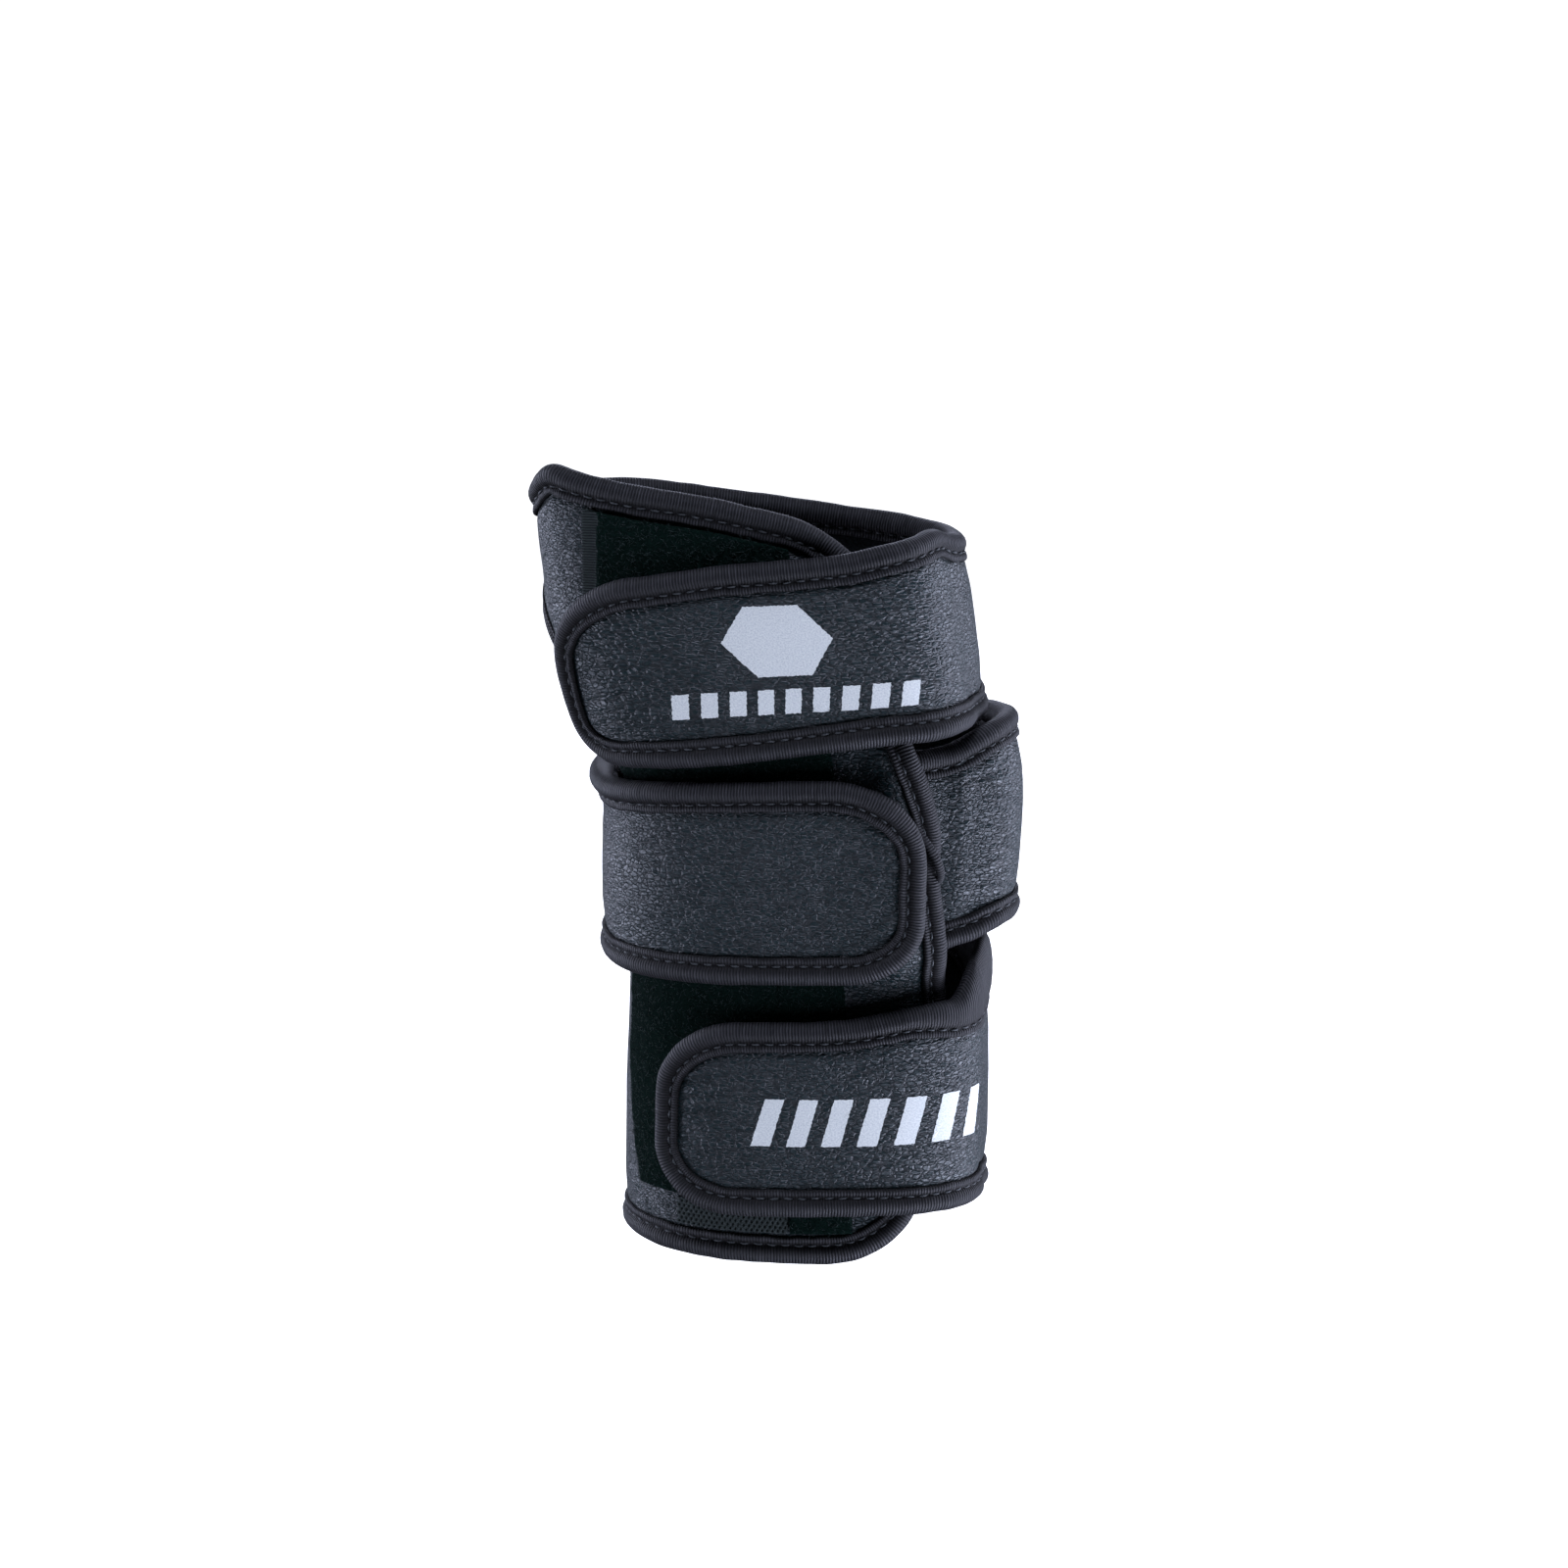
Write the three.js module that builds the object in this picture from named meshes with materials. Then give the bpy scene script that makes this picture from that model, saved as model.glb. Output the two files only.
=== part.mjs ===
// Three-strap wrist support glove for bowling, for a right hand, as it sits when worn.
// Millimetres, +Z from the forearm to the fingers, -Y to the back of the hand, +X to the little finger.
// The origin is the middle of the wrist. Angles turn round the hand in degrees: 0 is the middle of
// the back, 90 the little-finger side, 180 the palm and -90 the thumb side.

import * as THREE from 'three';

// The hollow that the hand and forearm fill
const handReach = 91;
const forearmReach = 76.4;
const wristHalfWidth = 32.7;
const wristHalfDepth = 20.5;
const handLean = 14.4;
const backBow = 3;
const squareness = 0.06;

// Walls and clearances
const skinGap = 0.6;
const leatherWall = 2.8;
const tapeWall = 1.2;
const webbingWall = 1.2;
const clearance = 0.4;
const strapClearance = 0.6;
const seamGap = 0.5;

// Binding: a folded ribbon over every cut edge. The bevel is a share of its reach and half its height.
const bindingReach = 2.5;
const bindingFlange = 3.7;
const bindingStand = 0.9;
const bindingSlot = 0.45;
const bindingBevel = 0.45;

// Straps: widths over their bindings, and where they sit. The hand strap's seat is a share of the
// wrist strap's width above that strap's middle line.
const wristStrapWidth = 43.5;
const wristStrapRise = 6;
const handStrapWidth = 41;
const handStrapGap = 0.9;
const handStrapSeat = 0.65;
const forearmStrapWidth = 41.5;
const forearmStrapGap = 5.2;
const seamAngle = -128;
const rootLapAngle = 31;
const tuckAngle = 49;
const handStrapEnd = -67;
const handStrapSlant = 14;
const wristStrapEnd = 398;
const forearmStrapEnd = -48;
const handStrapTopRadius = 14;
const handStrapFootRadius = 11;
const wristStrapTopRadius = 18;
const wristStrapFootRadius = 13;
const forearmStrapRadius = 15;

// Back panel: corners, the run of its arms to their seams, and its slope over the wrist strap's root
const panelFootRadius = 20;
const panelHeadRadius = 18;
const armRun = 30;
const lapSlopeAngle = 13;
const lapSlope = 8;

// Loop tape and webbing tab on the back panel
const tapeFootDrop = 6.4;
const tapeEdgeGap = 0.9;
const tabLeftAngle = -42;
const tabRightAngle = -6;
const tabHeight = 5.5;

// Mesh fineness
const strapStep = 11;
const panelStep = 9;
const cornerSteps = 4;
const strapRows = 5;
const archRows = 21;
const lowSeamRows = 4;
const highSeamRows = 2;
const tapeRows = 18;
const tabColumns = 4;
const tabRows = 2;
const relaxPasses = 40;

const degree = Math.PI / 180;

// Heights of what lies under a strap, measured from the hollow to the strap's inner face
const level = {
  skin: skinGap,
  raised: skinGap + leatherWall + clearance + bindingStand,
  tape: skinGap + leatherWall + clearance + tapeWall + strapClearance + bindingStand,
};
level.free = level.raised + leatherWall + 2 * bindingStand + strapClearance;

// Sections of the hollow. along: share of the reach; wide and deep: shares of the wrist's half sizes;
// side: share of the lean to the thumb side; fore: share of the bow to the palm.
const sections = [
  { along: -1.113, wide: 1.07, deep: 1.244, side: -0.083, fore: 0.5 },
  { along: -0.785, wide: 1.055, deep: 1.171, side: -0.069, fore: 0.333 },
  { along: -0.524, wide: 1.037, deep: 1.098, side: -0.056, fore: 0.167 },
  { along: -0.262, wide: 1.009, deep: 1.024, side: -0.049, fore: -0.067 },
  { along: 0.055, wide: 1, deep: 1, side: -0.049, fore: -0.1 },
  { along: 0.22, wide: 1.028, deep: 1.049, side: -0.069, fore: 0.267 },
  { along: 0.396, wide: 1.138, deep: 1.073, side: 0.153, fore: 0.5 },
  { along: 0.582, wide: 1.22, deep: 1, side: 0.479, fore: 0.167 },
  { along: 0.791, wide: 1.232, deep: 0.854, side: 0.708, fore: -0.5 },
  { along: 1.011, wide: 1.187, deep: 0.732, side: 1, fore: -1 },
];

// Straps round the hand. at: angle; foot and head: edges over the binding, as shares of the strap's
// width from its base line; low and high: inner face at the foot and the head; belly: bulge between.
const wristStations = [
  { at: 24, foot: -0.3, head: 0.58, low: level.skin, high: level.skin, belly: 0 },
  { at: 47, foot: -0.4, head: 0.6, low: level.skin, high: level.skin, belly: 0 },
  { at: 52, foot: -0.4, head: 0.61, low: level.skin * 1.9, high: level.skin * 1.6, belly: 0 },
  { at: 57, foot: -0.375, head: 0.645, low: level.tape * 0.46, high: level.tape * 0.37, belly: 0.1 },
  { at: 63, foot: -0.36, head: 0.68, low: level.tape * 0.86, high: level.tape * 0.63, belly: 0.4 },
  { at: 69, foot: -0.32, head: 0.7, low: level.tape * 1.16, high: level.tape * 0.84, belly: 0.8 },
  { at: 77, foot: -0.3, head: 0.715, low: level.tape * 1.34, high: level.tape * 0.96, belly: 1.4 },
  { at: 92, foot: -0.285, head: 0.715, low: level.tape * 1.36, high: level.tape, belly: 1.6 },
  { at: 118, foot: -0.3, head: 0.69, low: level.tape * 1.2, high: level.tape * 0.97, belly: 1 },
  { at: 150, foot: -0.36, head: 0.66, low: level.tape, high: level.tape, belly: 0 },
  { at: 200, foot: -0.42, head: 0.6, low: level.tape, high: level.tape, belly: 0 },
  { at: 270, foot: -0.47, head: 0.52, low: level.tape, high: level.tape, belly: 0 },
  { at: 300, foot: -0.5, head: 0.49, low: level.tape, high: level.tape, belly: 0 },
  { at: 365, foot: -0.5, head: 0.49, low: level.tape, high: level.tape, belly: 0 },
  { at: wristStrapEnd - 20, foot: -0.495, head: 0.49, low: level.tape * 1.2, high: level.tape * 1.2, belly: 0 },
  { at: wristStrapEnd - 7, foot: -0.49, head: 0.49, low: level.free, high: level.free, belly: 0 },
  { at: wristStrapEnd, foot: -0.49, head: 0.49, low: level.free, high: level.free, belly: 0 },
];
const handStations = [
  { at: handStrapEnd, foot: -0.12, head: 0.79, low: level.tape, high: level.tape, belly: 0 },
  { at: -47, foot: -0.12, head: 0.8, low: level.tape, high: level.tape, belly: 0 },
  { at: -31, foot: -0.12, head: 0.83, low: level.tape, high: level.tape, belly: 0 },
  { at: -12, foot: -0.1, head: 0.88, low: level.tape, high: level.tape, belly: 0 },
  { at: 10, foot: -0.06, head: 0.91, low: level.tape, high: level.tape, belly: 0 },
  { at: 25, foot: -0.03, head: 0.935, low: level.tape * 1.15, high: level.tape, belly: 0 },
  { at: 38, foot: -0.02, head: 0.975, low: level.tape * 1.32, high: level.tape, belly: 0 },
  { at: 45, foot: -0.01, head: 0.995, low: level.tape * 1.2, high: level.tape * 0.9, belly: 0 },
  { at: 51, foot: 0, head: 1.015, low: level.tape * 0.9, high: level.tape * 0.6, belly: 0 },
  { at: 57, foot: 0, head: 1.02, low: level.tape * 0.5, high: level.tape * 0.3, belly: 0 },
  { at: 63, foot: 0, head: 1.01, low: level.skin * 1.5, high: level.skin * 1.2, belly: 0 },
  { at: 70, foot: 0, head: 0.98, low: level.skin, high: level.skin, belly: 0 },
  { at: 90, foot: 0.01, head: 0.96, low: level.skin, high: level.skin, belly: 0 },
  { at: 120, foot: 0.05, head: 0.98, low: level.skin, high: level.skin, belly: 0 },
  { at: 150, foot: 0.13, head: 1.03, low: level.skin, high: level.skin, belly: 0 },
  { at: 175, foot: 0.34, head: 1.09, low: level.skin, high: level.skin, belly: 0 },
  { at: 200, foot: 0.56, head: 1.16, low: level.skin, high: level.skin, belly: 0 },
  { at: 216, foot: 0.66, head: 1.19, low: level.skin, high: level.skin, belly: 0 },
  { at: seamAngle + 360, foot: 0.71, head: 1.2, low: level.skin, high: level.skin, belly: 0 },
];
const forearmStations = [
  { at: forearmStrapEnd, foot: -1.06, head: -0.08, low: level.tape, high: level.tape, belly: 0 },
  { at: -14, foot: -1.06, head: -0.065, low: level.tape, high: level.tape, belly: 0 },
  { at: 13, foot: -1.06, head: -0.055, low: level.tape, high: level.tape, belly: 0 },
  { at: 33, foot: -1.07, head: -0.01, low: level.tape, high: level.tape, belly: 0 },
  { at: 44, foot: -1.07, head: 0.01, low: level.tape * 0.95, high: level.tape, belly: 0 },
  { at: 49, foot: -1.07, head: 0.015, low: level.tape * 0.83, high: level.tape * 0.98, belly: 0 },
  { at: 54, foot: -1.07, head: 0.08, low: level.tape * 0.7, high: level.tape * 0.94, belly: 0 },
  { at: 60, foot: -1.07, head: 0.155, low: level.tape * 0.48, high: level.tape * 0.85, belly: 0 },
  { at: 66, foot: -1.07, head: 0.215, low: level.skin * 1.8, high: level.tape * 0.7, belly: 0 },
  { at: 75, foot: -1.08, head: 0.255, low: level.skin, high: level.tape * 0.6, belly: 0 },
  { at: 90, foot: -1.1, head: 0.27, low: level.skin, high: level.tape * 0.55, belly: 0 },
  { at: 112, foot: -1.12, head: 0.31, low: level.skin, high: level.tape * 0.3, belly: 0 },
  { at: 135, foot: -1.16, head: 0.31, low: level.skin, high: level.skin, belly: 0 },
  { at: 180, foot: -1.22, head: 0.27, low: level.skin, high: level.skin, belly: 0 },
  { at: seamAngle + 360, foot: -1.285, head: 0.03, low: level.skin, high: level.skin, belly: 0 },
];

// Back panel edges over the binding. head and foot: shares of the hand's and the forearm's reach.
const panelHead = [
  { at: -110, share: 0.915 },
  { at: -87, share: 0.945 },
  { at: -64, share: 1 },
  { at: -48, share: 0.984 },
  { at: -30, share: 0.959 },
  { at: -10, share: 0.934 },
  { at: 5, share: 0.906 },
  { at: 15, share: 0.885 },
  { at: 38, share: 0.83 },
];
const panelFoot = [
  { at: -110, share: -0.976 },
  { at: -64, share: -0.976 },
  { at: -45, share: -0.986 },
  { at: -24, share: -0.995 },
  { at: 0, share: -1 },
  { at: 43, share: -1 },
];
// The right edge, rise: share of the way from its lower end to its upper end
const panelRight = [
  { rise: 0, at: 41 },
  { rise: 0.132, at: 43 },
  { rise: 0.244, at: 49 },
  { rise: 0.364, at: 53.5 },
  { rise: 0.424, at: 50.1 },
  { rise: 0.48, at: 48.4 },
  { rise: 0.533, at: 46.5 },
  { rise: 0.594, at: 45.5 },
  { rise: 0.637, at: 42.9 },
  { rise: 0.681, at: 39.4 },
  { rise: 0.72, at: 36.5 },
  { rise: 0.79, at: 35 },
  { rise: 0.88, at: 37 },
  { rise: 1, at: 39 },
];
// The left edge between the straps, rise: share of the way from the forearm strap to the hand strap
const thumbArch = [
  { at: -128, rise: 0 },
  { at: -114, rise: 0.017 },
  { at: -102, rise: 0.081 },
  { at: -95, rise: 0.198 },
  { at: -92, rise: 0.349 },
  { at: -90.5, rise: 0.523 },
  { at: -90, rise: 0.651 },
  { at: -90, rise: 0.744 },
  { at: -95, rise: 0.837 },
  { at: -104, rise: 0.919 },
  { at: -116, rise: 0.977 },
  { at: -128, rise: 1 },
];
// Bulges of the panel off the hand. at, spread: angle and its reach; rise, run: share of the hand's
// reach and its reach; lift: share of the leather's wall.
const panelBulges = [
  { at: -102, spread: 15, rise: 0.61, run: 0.1, lift: 0.75 },
];
// Edges of the loop tape, rise: share of the way up the panel
const tapeLeft = [
  { rise: 0, at: -61 },
  { rise: 0.06, at: -65 },
  { rise: 0.2, at: -66 },
  { rise: 0.35, at: -67 },
  { rise: 0.55, at: -62 },
  { rise: 0.75, at: -57 },
  { rise: 0.88, at: -52 },
  { rise: 1, at: -47 },
];
const tapeRight = [
  { rise: 0, at: 15 },
  { rise: 0.33, at: 14 },
  { rise: 0.6, at: 9 },
  { rise: 0.68, at: 11 },
  { rise: 1, at: 11 },
];

// Smooth curve through one column of a table, read at a place along another column
function readTable(table, key, column, place) {
  const last = table.length - 1;
  let row = 0;
  while (row < last - 1 && place > table[row + 1][key]) row += 1;
  const slope = (k) => {
    const before = table[Math.max(k - 1, 0)];
    const after = table[Math.min(k + 1, last)];
    return (after[column] - before[column]) / (after[key] - before[key]);
  };
  const step = table[row + 1][key] - table[row][key];
  const t = THREE.MathUtils.clamp((place - table[row][key]) / step, 0, 1);
  const start = table[row][column];
  const end = table[row + 1][column];
  return (2 * t ** 3 - 3 * t ** 2 + 1) * start + (t ** 3 - 2 * t ** 2 + t) * step * slope(row)
    + (3 * t ** 2 - 2 * t ** 3) * end + (t ** 3 - t ** 2) * step * slope(row + 1);
}

function smooth(value, from, to) {
  const t = THREE.MathUtils.clamp((value - from) / (to - from), 0, 1);
  return t * t * (3 - 2 * t);
}

// The hollow's surface, and the same surface moved out by an offset
function hollowPoint(angle, height) {
  const along = height / (height < 0 ? forearmReach : handReach);
  const turn = angle * degree;
  const round = 1 + squareness * Math.sin(2 * turn) ** 2;
  const halfWidth = wristHalfWidth * readTable(sections, 'along', 'wide', along);
  const halfDepth = wristHalfDepth * readTable(sections, 'along', 'deep', along);
  const side = -handLean * readTable(sections, 'along', 'side', along);
  const fore = backBow * readTable(sections, 'along', 'fore', along);
  return new THREE.Vector3(
    side + halfWidth * Math.sin(turn) * round,
    fore - halfDepth * Math.cos(turn) * round,
    height,
  );
}

function hollowNormal(angle, height) {
  const across = hollowPoint(angle + 0.1, height).sub(hollowPoint(angle - 0.1, height));
  const upward = hollowPoint(angle, height + 0.1).sub(hollowPoint(angle, height - 0.1));
  return across.cross(upward).normalize();
}

function offsetPoint(angle, height, offset) {
  return hollowPoint(angle, height).addScaledVector(hollowNormal(angle, height), offset);
}

// Millimetres round the hollow for each degree
function arcRate(angle, height) {
  return hollowPoint(angle + 0.5, height).distanceTo(hollowPoint(angle - 0.5, height));
}

// The angle that lies a distance round the hollow from another
function angleAway(angle, height, distance) {
  const steps = 12;
  let place = angle;
  for (let k = 0; k < steps; k += 1) place += distance / steps / arcRate(place, height);
  return place;
}

// An edge, as { angle, height } points, moved sideways in the flattened surface
function moveEdge(edge, distance) {
  return edge.map((point, k) => {
    const before = edge[Math.max(k - 1, 0)];
    const after = edge[Math.min(k + 1, edge.length - 1)];
    const rate = arcRate(point.angle, point.height);
    const run = (after.angle - before.angle) * rate;
    const rise = after.height - before.height;
    const length = Math.hypot(run, rise);
    return {
      angle: point.angle - (distance * rise) / length / rate,
      height: point.height + (distance * run) / length,
    };
  });
}

// Grid of { angle, height } between four edges. foot and head run the same way with as many points;
// start and finish run upward with as many points.
function fillGrid(foot, head, start, finish) {
  const columns = foot.length;
  const rows = start.length;
  const grid = [];
  const across = (i) => foot[i].angle + head[i].angle;
  for (let i = 0; i < columns; i += 1) {
    const u = (across(i) - across(0)) / (across(columns - 1) - across(0));
    const column = [];
    for (let j = 0; j < rows; j += 1) {
      const v = j / (rows - 1);
      const mix = (key) => foot[i][key] * (1 - v) + head[i][key] * v
        + (1 - u) * (start[j][key] - foot[0][key] * (1 - v) - head[0][key] * v)
        + u * (finish[j][key] - foot[columns - 1][key] * (1 - v) - head[columns - 1][key] * v);
      column.push({ angle: mix('angle'), height: mix('height') });
    }
    grid.push(column);
  }
  return grid;
}

// The same grid with its inner points evened out between their neighbours
function relaxGrid(grid) {
  for (let pass = 0; pass < relaxPasses; pass += 1) {
    for (let i = 1; i < grid.length - 1; i += 1) {
      for (let j = 1; j < grid[0].length - 1; j += 1) {
        const around = [grid[i - 1][j], grid[i + 1][j], grid[i][j - 1], grid[i][j + 1]];
        const mean = (key) => around.reduce((sum, p) => sum + p[key], 0) / around.length;
        grid[i][j] = { angle: mean('angle'), height: mean('height') };
      }
    }
  }
  return grid;
}

// Straight run of points from one point to another
function straightEdge(from, to, count) {
  const edge = [];
  for (let k = 0; k < count; k += 1) {
    const t = k / (count - 1);
    edge.push({
      angle: from.angle * (1 - t) + to.angle * t,
      height: from.height * (1 - t) + to.height * t,
    });
  }
  return edge;
}

// Closed geometry from points and triangles, with its faces pointing out
function closedGeometry(points, triangles) {
  let volume = 0;
  for (const [a, b, c] of triangles) {
    volume += points[a].dot(new THREE.Vector3().crossVectors(points[b], points[c]));
  }
  const turned = volume < 0 ? triangles.map(([a, b, c]) => [a, c, b]) : triangles;
  const geometry = new THREE.BufferGeometry();
  geometry.setAttribute('position', new THREE.Float32BufferAttribute(points.flatMap((p) => p.toArray()), 3));
  geometry.setIndex(turned.flat());
  geometry.computeVertexNormals();
  return geometry;
}

// A wall over a grid: inner face at lift(angle, height), outer face a wall further out
function wallFrom(grid, lift, wall) {
  const layer = (share) => grid.map((column) => column.map(({ angle, height }) => (
    offsetPoint(angle, height, lift(angle, height) + share * wall))));
  return { inner: layer(0), middle: layer(0.5), outer: layer(1) };
}

// Outward normal of the facets that meet at a grid point of a wall's middle
function wallNormal({ middle, outer }, i, j) {
  const normal = new THREE.Vector3();
  for (const [di, dj] of [[-1, -1], [-1, 0], [0, -1], [0, 0]]) {
    const a = i + di;
    const b = j + dj;
    if (a < 0 || b < 0 || a + 1 >= middle.length || b + 1 >= middle[0].length) continue;
    const rising = middle[a + 1][b + 1].clone().sub(middle[a][b]);
    const falling = middle[a + 1][b].clone().sub(middle[a][b + 1]);
    normal.add(falling.cross(rising).normalize());
  }
  if (normal.dot(outer[i][j].clone().sub(middle[i][j])) < 0) normal.negate();
  return normal.normalize();
}

function wallGeometry({ inner, outer }) {
  const columns = inner.length;
  const rows = inner[0].length;
  const points = [...inner.flat(), ...outer.flat()];
  const near = (i, j) => i * rows + j;
  const far = (i, j) => columns * rows + i * rows + j;
  const triangles = [];
  const quad = (a, b, c, d) => triangles.push([a, b, c], [a, c, d]);
  for (let i = 0; i < columns - 1; i += 1) {
    for (let j = 0; j < rows - 1; j += 1) {
      quad(far(i, j), far(i + 1, j), far(i + 1, j + 1), far(i, j + 1));
      quad(near(i, j), near(i, j + 1), near(i + 1, j + 1), near(i + 1, j));
    }
    quad(near(i, 0), near(i + 1, 0), far(i + 1, 0), far(i, 0));
    quad(near(i, rows - 1), far(i, rows - 1), far(i + 1, rows - 1), near(i + 1, rows - 1));
  }
  for (let j = 0; j < rows - 1; j += 1) {
    quad(near(0, j), far(0, j), far(0, j + 1), near(0, j + 1));
    quad(near(columns - 1, j), near(columns - 1, j + 1), far(columns - 1, j + 1), far(columns - 1, j));
  }
  return closedGeometry(points, triangles);
}

// Binding folded over the edge of a wall. rim: list of [i, j, inner i, inner j], the edge points in
// order, each with its neighbour inside the wall. Its two ends are cut along that neighbour's line.
function bindingGeometry(wall, rim) {
  const { middle } = wall;
  const half = leatherWall / 2 + bindingStand;
  const slot = leatherWall / 2 + bindingSlot;
  const outerRing = [
    [bindingFlange, half],
    [-bindingBevel * bindingReach, half],
    [-bindingReach, bindingBevel * half],
    [-bindingReach, -bindingBevel * half],
    [-bindingBevel * bindingReach, -half],
    [bindingFlange, -half],
  ];
  const slotRing = [
    [bindingFlange, -slot],
    [-bindingSlot, -slot],
    [-bindingSlot, slot],
    [bindingFlange, slot],
  ];
  const ring = [...outerRing, ...slotRing];
  const points = [];
  const frames = rim.map(([i, j, ni, nj], k) => {
    const [bi, bj] = rim[Math.max(k - 1, 0)];
    const [ai, aj] = rim[Math.min(k + 1, rim.length - 1)];
    const edge = middle[i][j];
    const tangent = middle[ai][aj].clone().sub(middle[bi][bj]).normalize();
    const normal = wallNormal(wall, i, j);
    const inward = new THREE.Vector3().crossVectors(normal, tangent).normalize();
    const neighbour = middle[ni][nj].clone().sub(edge).normalize();
    return { edge, normal, inward, neighbour };
  });
  const side = Math.sign(frames.reduce((sum, f) => sum + f.inward.dot(f.neighbour), 0));
  frames.forEach(({ edge, normal, inward, neighbour }, k) => {
    const isEnd = k === 0 || k === frames.length - 1;
    const way = isEnd ? neighbour : inward.multiplyScalar(side);
    const [i, j] = rim[k];
    const stand = isEnd ? wall.outer[i][j].clone().sub(edge).normalize() : normal;
    for (const [a, b] of ring) {
      points.push(edge.clone().addScaledVector(way, a).addScaledVector(stand, b));
    }
  });
  const count = ring.length;
  const triangles = [];
  for (let k = 0; k < rim.length - 1; k += 1) {
    for (let s = 0; s < count; s += 1) {
      const a = k * count + s;
      const b = k * count + ((s + 1) % count);
      triangles.push([a, b, b + count], [a, b + count, a + count]);
    }
  }
  const cap = [[0, 1, 8], [0, 8, 9], [1, 2, 8], [2, 3, 7], [2, 7, 8], [3, 4, 7], [4, 5, 6], [4, 6, 7]];
  const end = (rim.length - 1) * count;
  for (const [a, b, c] of cap) {
    triangles.push([a, c, b], [end + a, end + b, end + c]);
  }
  return closedGeometry(points, triangles);
}

// The edges of a flat shape that runs from a root angle to an end with two rounded corners.
// foot and head give heights at an angle; end gives the angle of the far side at a height. The edges
// are moved in by an inset, and foot and head end in the middle of their corners.
function roundedEdges({ foot, head, end, root, footRadius, headRadius, rows, inset, step }) {
  const way = Math.sign(end(0) - root);
  const corner = (curve) => {
    let height = curve(end(0));
    for (let k = 0; k < 4; k += 1) height = curve(end(height));
    return { angle: end(height), height };
  };
  const footCorner = corner(foot);
  const headCorner = corner(head);
  const arc = (curve, at, radius, up) => {
    const points = [];
    for (let k = 0; k <= cornerSteps; k += 1) {
      const turn = (k / cornerSteps) * (Math.PI / 2);
      const angle = angleAway(at.angle, at.height, -way * radius * (1 - Math.sin(turn)));
      const height = at.height + up * radius * (1 - Math.cos(turn));
      points.push({ angle: angle + end(height) - at.angle, height: curve(angle) + height - at.height });
    }
    return points;
  };
  const footArc = arc(foot, footCorner, footRadius, 1);
  const headArc = arc(head, headCorner, headRadius, -1);
  const longest = Math.max(Math.abs(footArc[0].angle - root), Math.abs(headArc[0].angle - root));
  const columns = Math.ceil(longest / step);
  const run = (curve, stop) => {
    const points = [];
    for (let k = 0; k < columns; k += 1) {
      const angle = root + ((stop - root) * k) / columns;
      points.push({ angle, height: curve(angle) });
    }
    return points;
  };
  const side = [];
  const straights = rows - cornerSteps;
  for (let k = 1; k < straights; k += 1) {
    const height = footArc[cornerSteps].height
      + ((headArc[cornerSteps].height - footArc[cornerSteps].height) * k) / straights;
    side.push({ angle: end(height), height });
  }
  const out = [...run(foot, footArc[0].angle), ...footArc];
  const back = [...headArc.slice().reverse(), ...run(head, headArc[0].angle).reverse()];
  const moved = moveEdge([...out, ...side, ...back], way * inset);
  moved[0].angle = root;
  moved[moved.length - 1].angle = root;
  const turn = columns + cornerSteps / 2;
  const other = moved.length - 1 - turn;
  return {
    foot: moved.slice(0, turn + 1),
    finish: moved.slice(turn, other + 1),
    head: moved.slice(other).reverse(),
  };
}

// A strap: its stations give its edges and its inner face, and its free end is rounded and may slant
function makeStrap({ stations, width, base, root, end, headRadius, footRadius, slant }) {
  const read = (column) => (angle) => readTable(stations, 'at', column, angle);
  const edge = (column) => (angle) => base + width * read(column)(angle);
  const middle = (edge('foot')(end) + edge('head')(end)) / 2;
  const { foot, finish, head } = roundedEdges({
    foot: edge('foot'),
    head: edge('head'),
    end: (height) => end + (slant * (height - middle)) / width,
    root,
    footRadius,
    headRadius,
    rows: strapRows,
    inset: bindingReach,
    step: strapStep,
  });
  const start = straightEdge(foot[0], head[0], strapRows + 1);
  const grid = relaxGrid(fillGrid(foot, head, start, finish));
  const lift = (angle, height) => {
    const v = ((height - base) / width - read('foot')(angle)) / (read('head')(angle) - read('foot')(angle));
    return read('low')(angle) * (1 - v) + read('high')(angle) * v + read('belly')(angle) * 4 * v * (1 - v);
  };
  return { wall: wallFrom(grid, lift, leatherWall), grid };
}

// Edge points of a strap's binding: out along its foot, round its end and back along its head,
// leaving bare the first stretch from the root
function strapRim({ grid }, bareAngle) {
  const rows = grid[0].length - 1;
  const last = grid.length - 1;
  const covered = (i) => Math.abs(grid[i][0].angle - grid[0][0].angle) >= bareAngle;
  const rim = [];
  for (let i = 0; i < last; i += 1) if (covered(i)) rim.push([i, 0, i, 1]);
  for (let j = 0; j <= rows; j += 1) rim.push([last, j, last - 1, j]);
  for (let i = last - 1; i >= 0; i -= 1) if (covered(i)) rim.push([i, rows, i, rows - 1]);
  return rim;
}

const handStrapBase = wristStrapRise + wristStrapWidth * handStrapSeat + handStrapGap;
const forearmStrapBase = wristStrapRise - wristStrapWidth / 2 - forearmStrapGap;
const seamTurn = seamAngle + 360;
const seamBack = (height) => seamGap / arcRate(seamAngle, height);

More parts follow.
